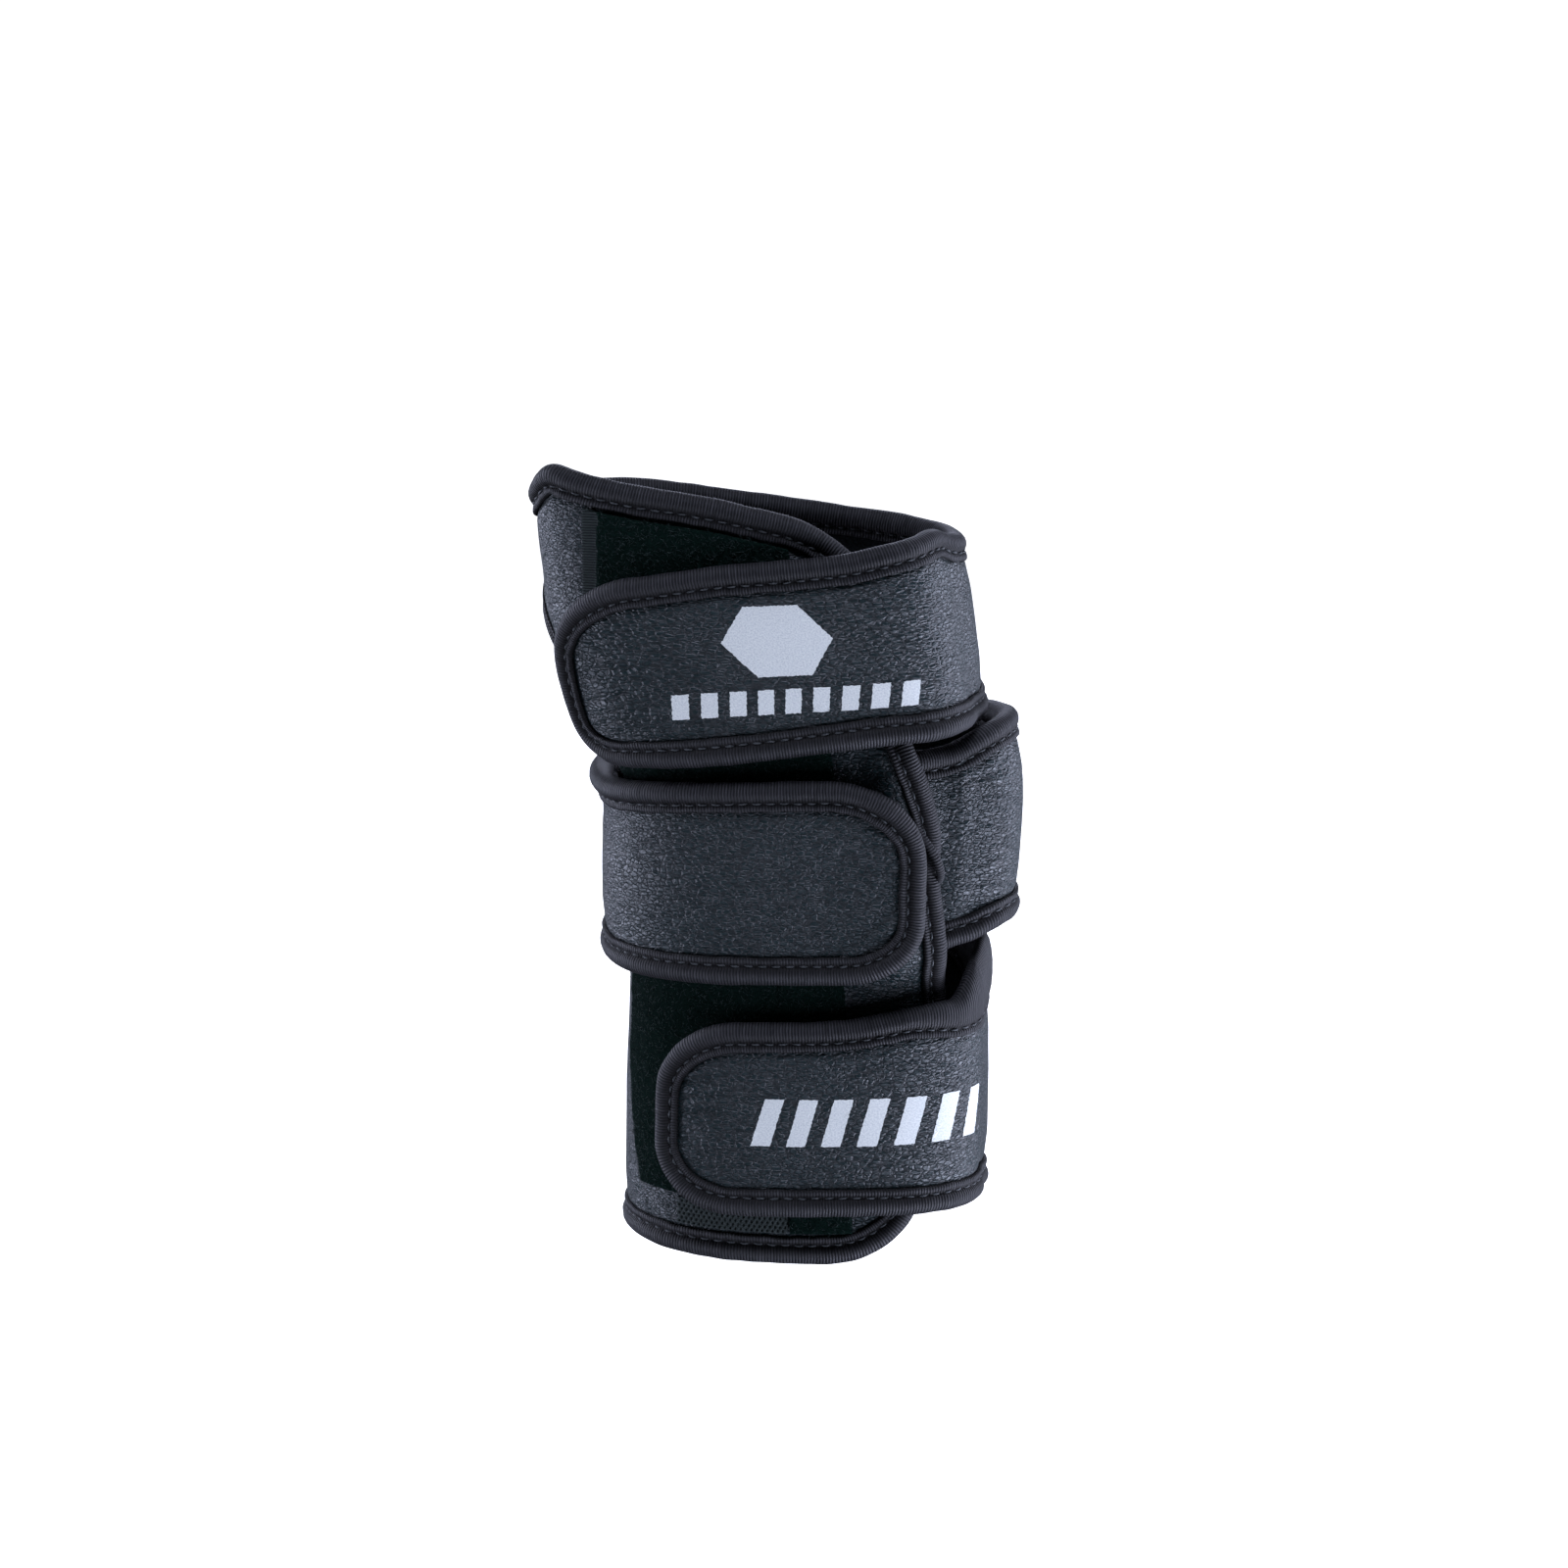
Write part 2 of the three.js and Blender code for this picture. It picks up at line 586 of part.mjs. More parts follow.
const handStrap = makeStrap({
  stations: handStations,
  width: handStrapWidth,
  base: handStrapBase,
  root: seamTurn - seamBack(handReach),
  end: handStrapEnd,
  headRadius: handStrapTopRadius,
  footRadius: handStrapFootRadius,
  slant: handStrapSlant,
});
const wristStrap = makeStrap({
  stations: wristStations,
  width: wristStrapWidth,
  base: wristStrapRise,
  root: rootLapAngle,
  end: wristStrapEnd,
  headRadius: wristStrapTopRadius,
  footRadius: wristStrapFootRadius,
  slant: 0,
});
const forearmStrap = makeStrap({
  stations: forearmStations,
  width: forearmStrapWidth,
  base: forearmStrapBase,
  root: seamTurn - seamBack(-forearmReach),
  end: forearmStrapEnd,
  headRadius: forearmStrapRadius,
  footRadius: forearmStrapRadius,
  slant: 0,
});

// Back panel: its arms on the thumb side meet the hand strap and the forearm strap at a seam
const strapEdge = (stations, base, width, column) => (
  base + width * readTable(stations, 'at', column, seamTurn));
const armHeights = {
  foot: strapEdge(forearmStations, forearmStrapBase, forearmStrapWidth, 'foot'),
  lowHead: strapEdge(forearmStations, forearmStrapBase, forearmStrapWidth, 'head'),
  highFoot: strapEdge(handStations, handStrapBase, handStrapWidth, 'foot'),
  head: strapEdge(handStations, handStrapBase, handStrapWidth, 'head'),
};
const armBlend = (angle) => smooth(angle, seamAngle, seamAngle + armRun);

function tableEdge(table, low, high, count) {
  const edge = [];
  for (let k = 0; k < count; k += 1) {
    const rise = k / (count - 1);
    edge.push({ angle: readTable(table, 'rise', 'at', rise), height: low + (high - low) * rise });
  }
  return edge;
}

function makePanel() {
  const height = (table, reach, armHeight) => (angle) => {
    const own = reach * readTable(table, 'at', 'share', angle);
    return armHeight * (1 - armBlend(angle)) + own * armBlend(angle);
  };
  const rows = lowSeamRows + archRows + highSeamRows;
  const low = -forearmReach;
  const high = handReach * panelHead[panelHead.length - 1].share;
  const { foot, finish, head } = roundedEdges({
    foot: height(panelFoot, forearmReach, armHeights.foot),
    head: height(panelHead, handReach, armHeights.head),
    end: (place) => readTable(panelRight, 'rise', 'at', (place - low) / (high - low)),
    root: seamAngle,
    footRadius: panelFootRadius,
    headRadius: panelHeadRadius,
    rows,
    inset: bindingReach,
    step: panelStep,
  });
  const arch = [];
  for (let k = 0; k <= archRows; k += 1) {
    const place = (k / archRows) * (thumbArch.length - 1);
    const row = Math.min(Math.floor(place), thumbArch.length - 2);
    const t = place - row;
    const rise = thumbArch[row].rise * (1 - t) + thumbArch[row + 1].rise * t;
    arch.push({
      angle: thumbArch[row].at * (1 - t) + thumbArch[row + 1].at * t,
      height: armHeights.lowHead + (armHeights.highFoot - armHeights.lowHead) * rise,
    });
  }
  const cutArch = moveEdge(arch, -bindingReach);
  cutArch[0].angle = seamAngle;
  cutArch[archRows].angle = seamAngle;
  const lowSeam = straightEdge(foot[0], cutArch[0], lowSeamRows + 1).slice(0, -1);
  const highSeam = straightEdge(cutArch[archRows], head[0], highSeamRows + 1).slice(1);
  const start = [...lowSeam, ...cutArch, ...highSeam];
  const grid = relaxGrid(fillGrid(foot, head, start, finish));
  return { grid, archFirst: lowSeamRows, archLast: lowSeamRows + archRows };
}

// The panel lies on the hand, rises over the wrist strap's root, and bulges off at the thumb
const rootEdge = (column) => (
  wristStrapRise + wristStrapWidth * readTable(wristStations, 'at', column, tuckAngle));
const rootHead = rootEdge('head');
const rootFoot = rootEdge('foot');
function panelLift(angle, height) {
  const over = smooth(angle, rootLapAngle - lapSlopeAngle, rootLapAngle)
    * smooth(height, rootFoot - lapSlope, rootFoot + bindingReach)
    * (1 - smooth(height, rootHead - bindingReach, rootHead + lapSlope));
  let lift = level.skin + (level.raised - level.skin) * over;
  for (const bulge of panelBulges) {
    const round = (angle - bulge.at) / bulge.spread;
    const up = (height / handReach - bulge.rise) / bulge.run;
    lift += bulge.lift * leatherWall * Math.exp(-(round ** 2) - up ** 2);
  }
  return lift;
}

const panel = makePanel();
panel.wall = wallFrom(panel.grid, panelLift, leatherWall);

function panelRims() {
  const rows = panel.grid[0].length - 1;
  const last = panel.grid.length - 1;
  const round = [];
  for (let i = 0; i < last; i += 1) round.push([i, 0, i, 1]);
  for (let j = 0; j <= rows; j += 1) round.push([last, j, last - 1, j]);
  for (let i = last - 1; i >= 0; i -= 1) round.push([i, rows, i, rows - 1]);
  const arch = [];
  for (let j = panel.archFirst; j <= panel.archLast; j += 1) arch.push([0, j, 1, j]);
  arch[0] = [0, panel.archFirst, 0, panel.archFirst - 1];
  arch[arch.length - 1] = [0, panel.archLast, 0, panel.archLast + 1];
  return { round, arch };
}

// Loop tape down the middle of the back, cut away at its foot for the webbing tab
const tapeLift = (angle, height) => panelLift(angle, height) + leatherWall + clearance;
function panelFootAt(angle) {
  const edge = forearmReach * readTable(panelFoot, 'at', 'share', angle);
  return edge + bindingReach + bindingFlange + tapeEdgeGap;
}
function panelHeadAt(angle) {
  const edge = handReach * readTable(panelHead, 'at', 'share', angle);
  return edge - bindingReach - bindingFlange - tapeEdgeGap;
}

// Columns of the tape as shares of its foot, left of the notch and right of it
const tapeColumnsLeft = [0, 0.06, 0.2, 0.35, 0.5, 0.62];
const tapeColumnsRight = [0.83, 0.92, 1];

function makeTape() {
  const width = tapeRight[0].at - tapeLeft[0].at;
  const notch = (tabRightAngle - tapeLeft[0].at) / width;
  const step = seamGap / width;
  const shares = [...tapeColumnsLeft, notch + step, notch + 2 * step, ...tapeColumnsRight];
  const foot = shares.map((share) => {
    const angle = tapeLeft[0].at + width * share;
    const drop = share > notch + 1.5 * step ? 0 : tapeFootDrop;
    return { angle, height: panelFootAt(angle) + drop };
  });
  const topLeft = tapeLeft[tapeLeft.length - 1].at;
  const topRight = tapeRight[tapeRight.length - 1].at;
  const head = shares.map((share) => {
    const angle = topLeft * (1 - share) + topRight * share;
    return { angle, height: panelHeadAt(angle) };
  });
  const start = tableEdge(tapeLeft, foot[0].height, head[0].height, tapeRows + 1);
  const last = shares.length - 1;
  const finish = tableEdge(tapeRight, foot[last].height, head[last].height, tapeRows + 1);
  return wallFrom(fillGrid(foot, head, start, finish), tapeLift, tapeWall);
}

function makeTab() {
  const foot = [];
  const head = [];
  for (let k = 0; k <= tabColumns; k += 1) {
    const angle = tabLeftAngle + ((tabRightAngle - tabLeftAngle) * k) / tabColumns;
    foot.push({ angle, height: panelFootAt(angle) });
    head.push({ angle, height: panelFootAt(angle) + tabHeight });
  }
  const start = straightEdge(foot[0], head[0], tabRows + 1);
  const finish = straightEdge(foot[tabColumns], head[tabColumns], tabRows + 1);
  return wallFrom(fillGrid(foot, head, start, finish), tapeLift, webbingWall);
}

// Finishes
const makeFinish = (color, roughness) => new THREE.MeshStandardMaterial({ color, roughness, metalness: 0 });
const leatherFinish = () => makeFinish(0x23252b, 0.55);
const bindingFinish = () => makeFinish(0x141417, 0.75);
const tapeFinish = () => makeFinish(0x08090a, 0.95);
const webbingFinish = () => makeFinish(0x1d1e22, 0.8);

const glove = new THREE.Group();
function addPiece(name, geometry, material) {
  const mesh = new THREE.Mesh(geometry, material);
  mesh.name = name;
  glove.add(mesh);
}

const rims = panelRims();
const tuck = tuckAngle - rootLapAngle;
const handRim = strapRim(handStrap, 0);
const wristRim = strapRim(wristStrap, tuck);
const forearmRim = strapRim(forearmStrap, 0);
addPiece('back_panel', wallGeometry(panel.wall), leatherFinish());
addPiece('back_panel_binding', bindingGeometry(panel.wall, rims.round), bindingFinish());
addPiece('thumb_arch_binding', bindingGeometry(panel.wall, rims.arch), bindingFinish());
addPiece('hand_strap', wallGeometry(handStrap.wall), leatherFinish());
addPiece('hand_strap_binding', bindingGeometry(handStrap.wall, handRim), bindingFinish());
addPiece('wrist_strap', wallGeometry(wristStrap.wall), leatherFinish());
addPiece('wrist_strap_binding', bindingGeometry(wristStrap.wall, wristRim), bindingFinish());
addPiece('forearm_strap', wallGeometry(forearmStrap.wall), leatherFinish());
addPiece('forearm_strap_binding', bindingGeometry(forearmStrap.wall, forearmRim), bindingFinish());
addPiece('loop_tape', wallGeometry(makeTape()), tapeFinish());
addPiece('webbing_tab', wallGeometry(makeTab()), webbingFinish());

export default glove;
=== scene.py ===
"""Bowling wrist-support glove for the right hand: the finished look of each piece.

Sizes are in millimetres and become metres when a mesh is made. An angle turns round the hand in
degrees: 0 is the middle of the back, 90 the little-finger side, 180 the palm, -90 the thumb side.
"""
import math

import bpy
import numpy as np
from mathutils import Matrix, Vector
from mathutils.kdtree import KDTree


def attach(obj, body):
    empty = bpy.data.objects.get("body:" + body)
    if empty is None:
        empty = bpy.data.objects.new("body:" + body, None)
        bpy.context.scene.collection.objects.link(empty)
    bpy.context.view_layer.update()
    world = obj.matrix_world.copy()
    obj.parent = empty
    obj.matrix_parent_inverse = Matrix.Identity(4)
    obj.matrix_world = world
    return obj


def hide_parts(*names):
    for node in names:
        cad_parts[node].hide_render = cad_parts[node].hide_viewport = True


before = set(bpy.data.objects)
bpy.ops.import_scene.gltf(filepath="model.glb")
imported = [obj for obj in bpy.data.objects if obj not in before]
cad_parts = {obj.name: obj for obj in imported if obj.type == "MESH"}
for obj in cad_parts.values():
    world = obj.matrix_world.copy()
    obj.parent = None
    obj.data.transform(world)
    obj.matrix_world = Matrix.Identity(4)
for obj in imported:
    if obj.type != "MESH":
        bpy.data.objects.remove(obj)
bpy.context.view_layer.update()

MM = 0.001
UP = np.array([0, 0, 1.0])

# The hollow that the hand and forearm fill
HAND_REACH = 91
FOREARM_REACH = 76.4
WRIST_HALF_WIDTH = 32.7
WRIST_HALF_DEPTH = 20.5
HAND_LEAN = 14.4
BACK_BOW = 3
SQUARENESS = 0.06

# Walls and clearances
SKIN_GAP = 0.6
LEATHER_WALL = 2.8
TAPE_WALL = 1.2
CLEARANCE = 0.4
STRAP_CLEARANCE = 0.6
SEAM_GAP = 0.5

# Binding
BINDING_REACH = 2.5
BINDING_FLANGE = 3.7
BINDING_STAND = 0.9

# Straps and the panel's seam
WRIST_WIDTH = 43.5
WRIST_RISE = 6
HAND_WIDTH = 41
FOREARM_WIDTH = 41.5
HAND_BASE = WRIST_RISE + WRIST_WIDTH * 0.65 + 0.9
FOREARM_BASE = WRIST_RISE - WRIST_WIDTH / 2 - 5.2
SEAM_ANGLE = -128
SEAM_TURN = SEAM_ANGLE + 360
ROOT_LAP_ANGLE = 31
TUCK_ANGLE = 49

# Tape and tab
TAPE_FOOT_DROP = 6.4
TAPE_EDGE_GAP = 0.9
TAB_LEFT = -42
TAB_RIGHT = -6
TAB_HEIGHT = 5.5
MESH_ROW = 0.88
MESH_COLUMN = 1.02

# The loose end of the panel's ribbon, and how it pinches the bead that it crosses
END_HALF_WIDTH = 1.0
END_HALF_DEPTH = 0.72
PINCH = 0.3
PINCH_HEIGHT = 7.4
PINCH_SPREAD = 2.3

# Where the wrist strap's ribbon ends under the panel, along its foot and its head
ROOT_RIBBON_FOOT = 45.5
ROOT_RIBBON_HEAD = 33

# Loop tape's look: its backing, its loops, its woven left edge and its loose fibres
TAPE_BACKING = 0.55
LOOP_RISE = 0.55
SELVEDGE_WIDTH = 0.8
SELVEDGE_WIDENING = 2.1
FIBRE_RADIUS = 0.045
FIBRE_BASE = 0.95
FIBRE_COUNT = 4000

# Webbing's look
KNIT_WALL = 0.75
KNIT_CORD = 0.12
KNIT_HOLE = 0.62
HOLE_HALF_WIDTH = 0.26
HOLE_HALF_HEIGHT = 0.3

# Print
INK_LIFT = 0.05
PRINT_UV_SHIFT = 200

# Fineness of the leathers' grids
ARC_STEPS = 28
COLUMN_STEP = 1.0
LOW_ROWS = 44
ARCH_ROWS = 130
HIGH_ROWS = 22

# Millimetres a degree where a leather is laid flat for its grain and folds
RATE = 0.62

# How far the inner face of each layer lies from the hollow
SKIN = SKIN_GAP
RAISED = SKIN_GAP + LEATHER_WALL + CLEARANCE + BINDING_STAND
TAPE = SKIN_GAP + LEATHER_WALL + CLEARANCE + TAPE_WALL + STRAP_CLEARANCE + BINDING_STAND
FREE = RAISED + LEATHER_WALL + 2 * BINDING_STAND + STRAP_CLEARANCE

# The hollow's sections: how far along its reach, then the shares of the wrist's width, the wrist's
# depth, the lean and the bow
SECTIONS = [
    (-1.113, 1.07, 1.244, -0.083, 0.5),
    (-0.785, 1.055, 1.171, -0.069, 0.333),
    (-0.524, 1.037, 1.098, -0.056, 0.167),
    (-0.262, 1.009, 1.024, -0.049, -0.067),
    (0.055, 1, 1, -0.049, -0.1),
    (0.22, 1.028, 1.049, -0.069, 0.267),
    (0.396, 1.138, 1.073, 0.153, 0.5),
    (0.582, 1.22, 1, 0.479, 0.167),
    (0.791, 1.232, 0.854, 0.708, -0.5),
    (1.011, 1.187, 0.732, 1, -1),
]
# The straps' stations: angle, the edges at foot and head as shares of the width, the offsets along
# foot and head, and the belly between them
WRIST_STATIONS = [
    (24, -0.3, 0.58, SKIN, SKIN, 0),
    (47, -0.4, 0.6, SKIN, SKIN, 0),
    (52, -0.4, 0.61, SKIN * 1.9, SKIN * 1.6, 0),
    (57, -0.375, 0.645, TAPE * 0.46, TAPE * 0.37, 0.1),
    (63, -0.36, 0.68, TAPE * 0.86, TAPE * 0.63, 0.4),
    (69, -0.32, 0.7, TAPE * 1.16, TAPE * 0.84, 0.8),
    (77, -0.3, 0.715, TAPE * 1.34, TAPE * 0.96, 1.4),
    (92, -0.285, 0.715, TAPE * 1.36, TAPE, 1.6),
    (118, -0.3, 0.69, TAPE * 1.2, TAPE * 0.97, 1),
    (150, -0.36, 0.66, TAPE, TAPE, 0),
    (200, -0.42, 0.6, TAPE, TAPE, 0),
    (270, -0.47, 0.52, TAPE, TAPE, 0),
    (300, -0.5, 0.49, TAPE, TAPE, 0),
    (365, -0.5, 0.49, TAPE, TAPE, 0),
    (378, -0.495, 0.49, TAPE * 1.2, TAPE * 1.2, 0),
    (391, -0.49, 0.49, FREE, FREE, 0),
    (398, -0.49, 0.49, FREE, FREE, 0),
]
HAND_STATIONS = [
    (-67, -0.12, 0.79, TAPE, TAPE, 0),
    (-47, -0.12, 0.8, TAPE, TAPE, 0),
    (-31, -0.12, 0.83, TAPE, TAPE, 0),
    (-12, -0.1, 0.88, TAPE, TAPE, 0),
    (10, -0.06, 0.91, TAPE, TAPE, 0),
    (25, -0.03, 0.935, TAPE * 1.15, TAPE, 0),
    (38, -0.02, 0.975, TAPE * 1.32, TAPE, 0),
    (45, -0.01, 0.995, TAPE * 1.2, TAPE * 0.9, 0),
    (51, 0, 1.015, TAPE * 0.9, TAPE * 0.6, 0),
    (57, 0, 1.02, TAPE * 0.5, TAPE * 0.3, 0),
    (63, 0, 1.01, SKIN * 1.5, SKIN * 1.2, 0),
    (70, 0, 0.98, SKIN, SKIN, 0),
    (90, 0.01, 0.96, SKIN, SKIN, 0),
    (120, 0.05, 0.98, SKIN, SKIN, 0),
    (150, 0.13, 1.03, SKIN, SKIN, 0),
    (175, 0.34, 1.09, SKIN, SKIN, 0),
    (200, 0.56, 1.16, SKIN, SKIN, 0),
    (216, 0.66, 1.19, SKIN, SKIN, 0),
    (232, 0.71, 1.2, SKIN, SKIN, 0),
]
FOREARM_STATIONS = [
    (-48, -1.06, -0.08, TAPE, TAPE, 0),
    (-14, -1.06, -0.065, TAPE, TAPE, 0),
    (13, -1.06, -0.055, TAPE, TAPE, 0),
    (33, -1.07, -0.01, TAPE, TAPE, 0),
    (44, -1.07, 0.01, TAPE * 0.95, TAPE, 0),
    (49, -1.07, 0.015, TAPE * 0.83, TAPE * 0.98, 0),
    (54, -1.07, 0.08, TAPE * 0.7, TAPE * 0.94, 0),
    (60, -1.07, 0.155, TAPE * 0.48, TAPE * 0.85, 0),
    (66, -1.07, 0.215, SKIN * 1.8, TAPE * 0.7, 0),
    (75, -1.08, 0.255, SKIN, TAPE * 0.6, 0),
    (90, -1.1, 0.27, SKIN, TAPE * 0.55, 0),
    (112, -1.12, 0.31, SKIN, TAPE * 0.3, 0),
    (135, -1.16, 0.31, SKIN, SKIN, 0),
    (180, -1.22, 0.27, SKIN, SKIN, 0),
    (232, -1.285, 0.03, SKIN, SKIN, 0),
]
# A strap: its stations, its width and its height at no share
HAND = (HAND_STATIONS, HAND_WIDTH, HAND_BASE)
WRIST = (WRIST_STATIONS, WRIST_WIDTH, WRIST_RISE)
FOREARM = (FOREARM_STATIONS, FOREARM_WIDTH, FOREARM_BASE)

# Back panel edges: angle and share of the reach
PANEL_HEAD = [
    (-110, 0.915), (-87, 0.945), (-64, 1), (-48, 0.984), (-30, 0.959),
    (-10, 0.934), (5, 0.906), (15, 0.885), (38, 0.83),
]
PANEL_FOOT = [(-110, -0.976), (-64, -0.976), (-45, -0.986), (-24, -0.995), (0, -1), (43, -1)]
# Share of the height and angle
PANEL_RIGHT = [
    (0, 41), (0.132, 43), (0.244, 49), (0.364, 53.5), (0.424, 50.1), (0.48, 48.4), (0.533, 46.5),
    (0.594, 45.5), (0.637, 42.9), (0.681, 39.4), (0.72, 36.5), (0.79, 35), (0.88, 37), (1, 39),
]
# Angle and share of the rise between the arms
THUMB_ARCH = [
    (-128, 0), (-114, 0.017), (-102, 0.081), (-95, 0.198), (-92, 0.349), (-90.5, 0.523),
    (-90, 0.651), (-90, 0.744), (-95, 0.837), (-104, 0.919), (-116, 0.977), (-128, 1),
]
# Where the panel bulges: degrees, then shares of the hand's reach and of the leather's wall
PANEL_BULGE = {"at": -102, "spread": 15, "rise": 0.61, "run": 0.1, "lift": 0.75}
# Tape edges: share of the height and angle
TAPE_LEFT = [
    (0, -61), (0.06, -65.5), (0.2, -71), (0.35, -72), (0.5, -70), (0.62, -67), (0.75, -57.5),
    (0.88, -52), (1, -47),
]
TAPE_RIGHT = [(0, 15), (0.33, 14), (0.6, 9), (0.68, 11), (1, 11)]
# Angle and how much wider the forearm strap's ribbon is there
CUFF = [
    (33, 0), (42, 1.2), (49, 2.2), (54, 4.8), (60, 7.6), (68, 9.0), (90, 8.6), (110, 5), (135, 0),
]
# Where the end of the panel's ribbon crosses its bead: angle, height, offset
CROSSING = [
    (35.3, 17.0, 7.6), (36.7, 15.0, 8.3), (38.3, 13.1, 9.0), (40.1, 11.1, 9.5), (41.7, 9.0, 9.5),
    (43.0, 7.2, 8.9), (43.9, 5.8, 7.9), (44.4, 4.7, 6.6),
]
# Degrees to each side and weight
SOFTENING = [(-6, 0.1), (-3, 0.25), (0, 0.3), (3, 0.25), (6, 0.1)]


# The form

def curve(table, column, where):
    """Smooth curve through one column of a table, read anywhere along its first column."""
    rows = np.array(table, float)
    at, value = rows[:, 0], rows[:, column]
    last = len(at) - 1
    before = np.maximum(np.arange(last + 1) - 1, 0)
    after = np.minimum(np.arange(last + 1) + 1, last)
    slope = (value[after] - value[before]) / (at[after] - at[before])
    where = np.asarray(where, float)
    k = np.clip(np.searchsorted(at, where, side="right") - 1, 0, last - 1)
    step = at[k + 1] - at[k]
    t = np.clip((where - at[k]) / step, 0, 1)
    return ((2 * t**3 - 3 * t**2 + 1) * value[k] + (t**3 - 2 * t**2 + t) * step * slope[k]
            + (3 * t**2 - 2 * t**3) * value[k + 1] + (t**3 - t**2) * step * slope[k + 1])


def smooth_rows(rows, count):
    """Each column of a table at count even steps along a smooth line through its rows."""
    table = [(k, *row) for k, row in enumerate(rows)]
    along = np.linspace(0, len(rows) - 1, count)
    return [curve(table, column, along) for column in range(1, len(table[0]))]


def soft_curve(table, column, where):
    """A table's curve averaged over a few degrees, as leather bends."""
    return sum(weight * curve(table, column, where + shift) for shift, weight in SOFTENING)


def smooth(value, low, high):
    """0 up to low, 1 from high on, and a smooth step between them."""
    t = np.clip((value - low) / (high - low), 0, 1)
    return t * t * (3 - 2 * t)


def hollow(angle, height):
    """Points on the surface of the hollow that the hand fills."""
    angle, height = np.broadcast_arrays(np.asarray(angle, float), np.asarray(height, float))
    along = height / np.where(height < 0, FOREARM_REACH, HAND_REACH)
    turn = np.radians(angle)
    round_ = 1 + SQUARENESS * np.sin(2 * turn) ** 2
    x = (-HAND_LEAN * curve(SECTIONS, 3, along)
         + WRIST_HALF_WIDTH * curve(SECTIONS, 1, along) * np.sin(turn) * round_)
    y = (BACK_BOW * curve(SECTIONS, 4, along)
         - WRIST_HALF_DEPTH * curve(SECTIONS, 2, along) * np.cos(turn) * round_)
    return np.stack([x, y, height], -1)


def unit(v):
    """Vectors at a length of one."""
    return v / np.maximum(np.linalg.norm(v, axis=-1, keepdims=True), 1e-12)


def place(angle, height, offset):
    """Points at an offset from the hollow's surface."""
    across = hollow(angle + 0.1, height) - hollow(angle - 0.1, height)
    upward = hollow(angle, height + 0.1) - hollow(angle, height - 0.1)
    offset = np.broadcast_to(np.asarray(offset, float), np.broadcast(angle, height).shape)
    return hollow(angle, height) + unit(np.cross(across, upward)) * offset[..., None]


def arc_rate(angle, height):
    """Millimetres round the hollow for each degree."""
    return np.linalg.norm(hollow(angle + 0.5, height) - hollow(angle - 0.5, height), axis=-1)


def angle_away(angle, height, distance):
    """The angle at a distance round the hollow."""
    for _ in range(12):
        angle = angle + distance / 12 / arc_rate(angle, height)
    return angle


def move_edge(edge, distance):
    """An edge, rows of (angle, height), moved sideways."""
    before = edge[np.maximum(np.arange(len(edge)) - 1, 0)]
    after = edge[np.minimum(np.arange(len(edge)) + 1, len(edge) - 1)]
    rate = arc_rate(edge[:, 0], edge[:, 1])
    run = (after[:, 0] - before[:, 0]) * rate
    rise = after[:, 1] - before[:, 1]
    length = np.hypot(run, rise)
    return np.stack([edge[:, 0] - distance * rise / length / rate,
                     edge[:, 1] + distance * run / length], -1)


def straight(a, b, count):
    """Even points from a to b."""
    t = np.linspace(0, 1, count)[:, None]
    return np.asarray(a) * (1 - t) + np.asarray(b) * t


def fill_grid(foot, head, start, finish, passes=150):
    """Grid of (angle, height) between four edges, evened out inside."""
    across = foot[:, 0] + head[:, 0]
    u = ((across - across[0]) / (across[-1] - across[0]))[:, None, None]
    v = np.linspace(0, 1, len(start))[None, :, None]
    grid = (foot[:, None] * (1 - v) + head[:, None] * v
            + (1 - u) * (start[None] - foot[0] * (1 - v) - head[0] * v)
            + u * (finish[None] - foot[-1] * (1 - v) - head[-1] * v))
    for _ in range(passes):
        grid[1:-1, 1:-1] = (grid[:-2, 1:-1] + grid[2:, 1:-1] + grid[1:-1, :-2] + grid[1:-1, 2:]) / 4
    return grid


def rounded_edges(foot, head, end, root, foot_radius, head_radius, straights):
    """The leather's outline from its root round two corners and back, and three sides of its grid.

    foot and head give a height for an angle, and end gives an angle for a height.
    """
    way = math.copysign(1, end(0.0) - root)

    def corner(line):
        height = line(end(0.0))
        for _ in range(4):
            height = line(end(height))
        return float(end(height)), float(height)

    def arc(line, at, radius, up):
        turn = np.linspace(0, math.pi / 2, ARC_STEPS + 1)
        angle = angle_away(at[0], at[1], -way * radius * (1 - np.sin(turn)))
        height = at[1] + up * radius * (1 - np.cos(turn))
        return np.stack([angle + end(height) - at[0], line(angle) + height - at[1]], -1)

    foot_arc = arc(foot, corner(foot), foot_radius, 1)
    head_arc = arc(head, corner(head), head_radius, -1)
    longest = max(abs(foot_arc[0, 0] - root), abs(head_arc[0, 0] - root))
    columns = math.ceil(longest / COLUMN_STEP)

    def run(line, stop):
        angle = root + (stop - root) * np.arange(columns) / columns
        return np.stack([angle, line(angle)], -1)

    height = np.linspace(foot_arc[-1, 1], head_arc[-1, 1], straights + 1)[1:-1]
    side = np.stack([end(height), height], -1)
    path = np.concatenate([run(foot, foot_arc[0, 0]), foot_arc, side, head_arc[::-1],
                           run(head, head_arc[0, 0])[::-1]])
    path = move_edge(path, way * BINDING_REACH)
    path[0, 0] = path[-1, 0] = root
    turn = columns + ARC_STEPS // 2
    other = len(path) - 1 - turn
    return path, path[: turn + 1], path[turn: other + 1], path[other:][::-1]


# Noise, creases and relief

PILLOW_RUN = 7
PRESS_DEPTH = 0.35
CREASE_LIP = 0.45
LIP_AWAY = 1.9
CREASE_WANDER = 0.25
SEAM_DEPTH = 0.5
SEAM_HALF_WIDTH = 0.9


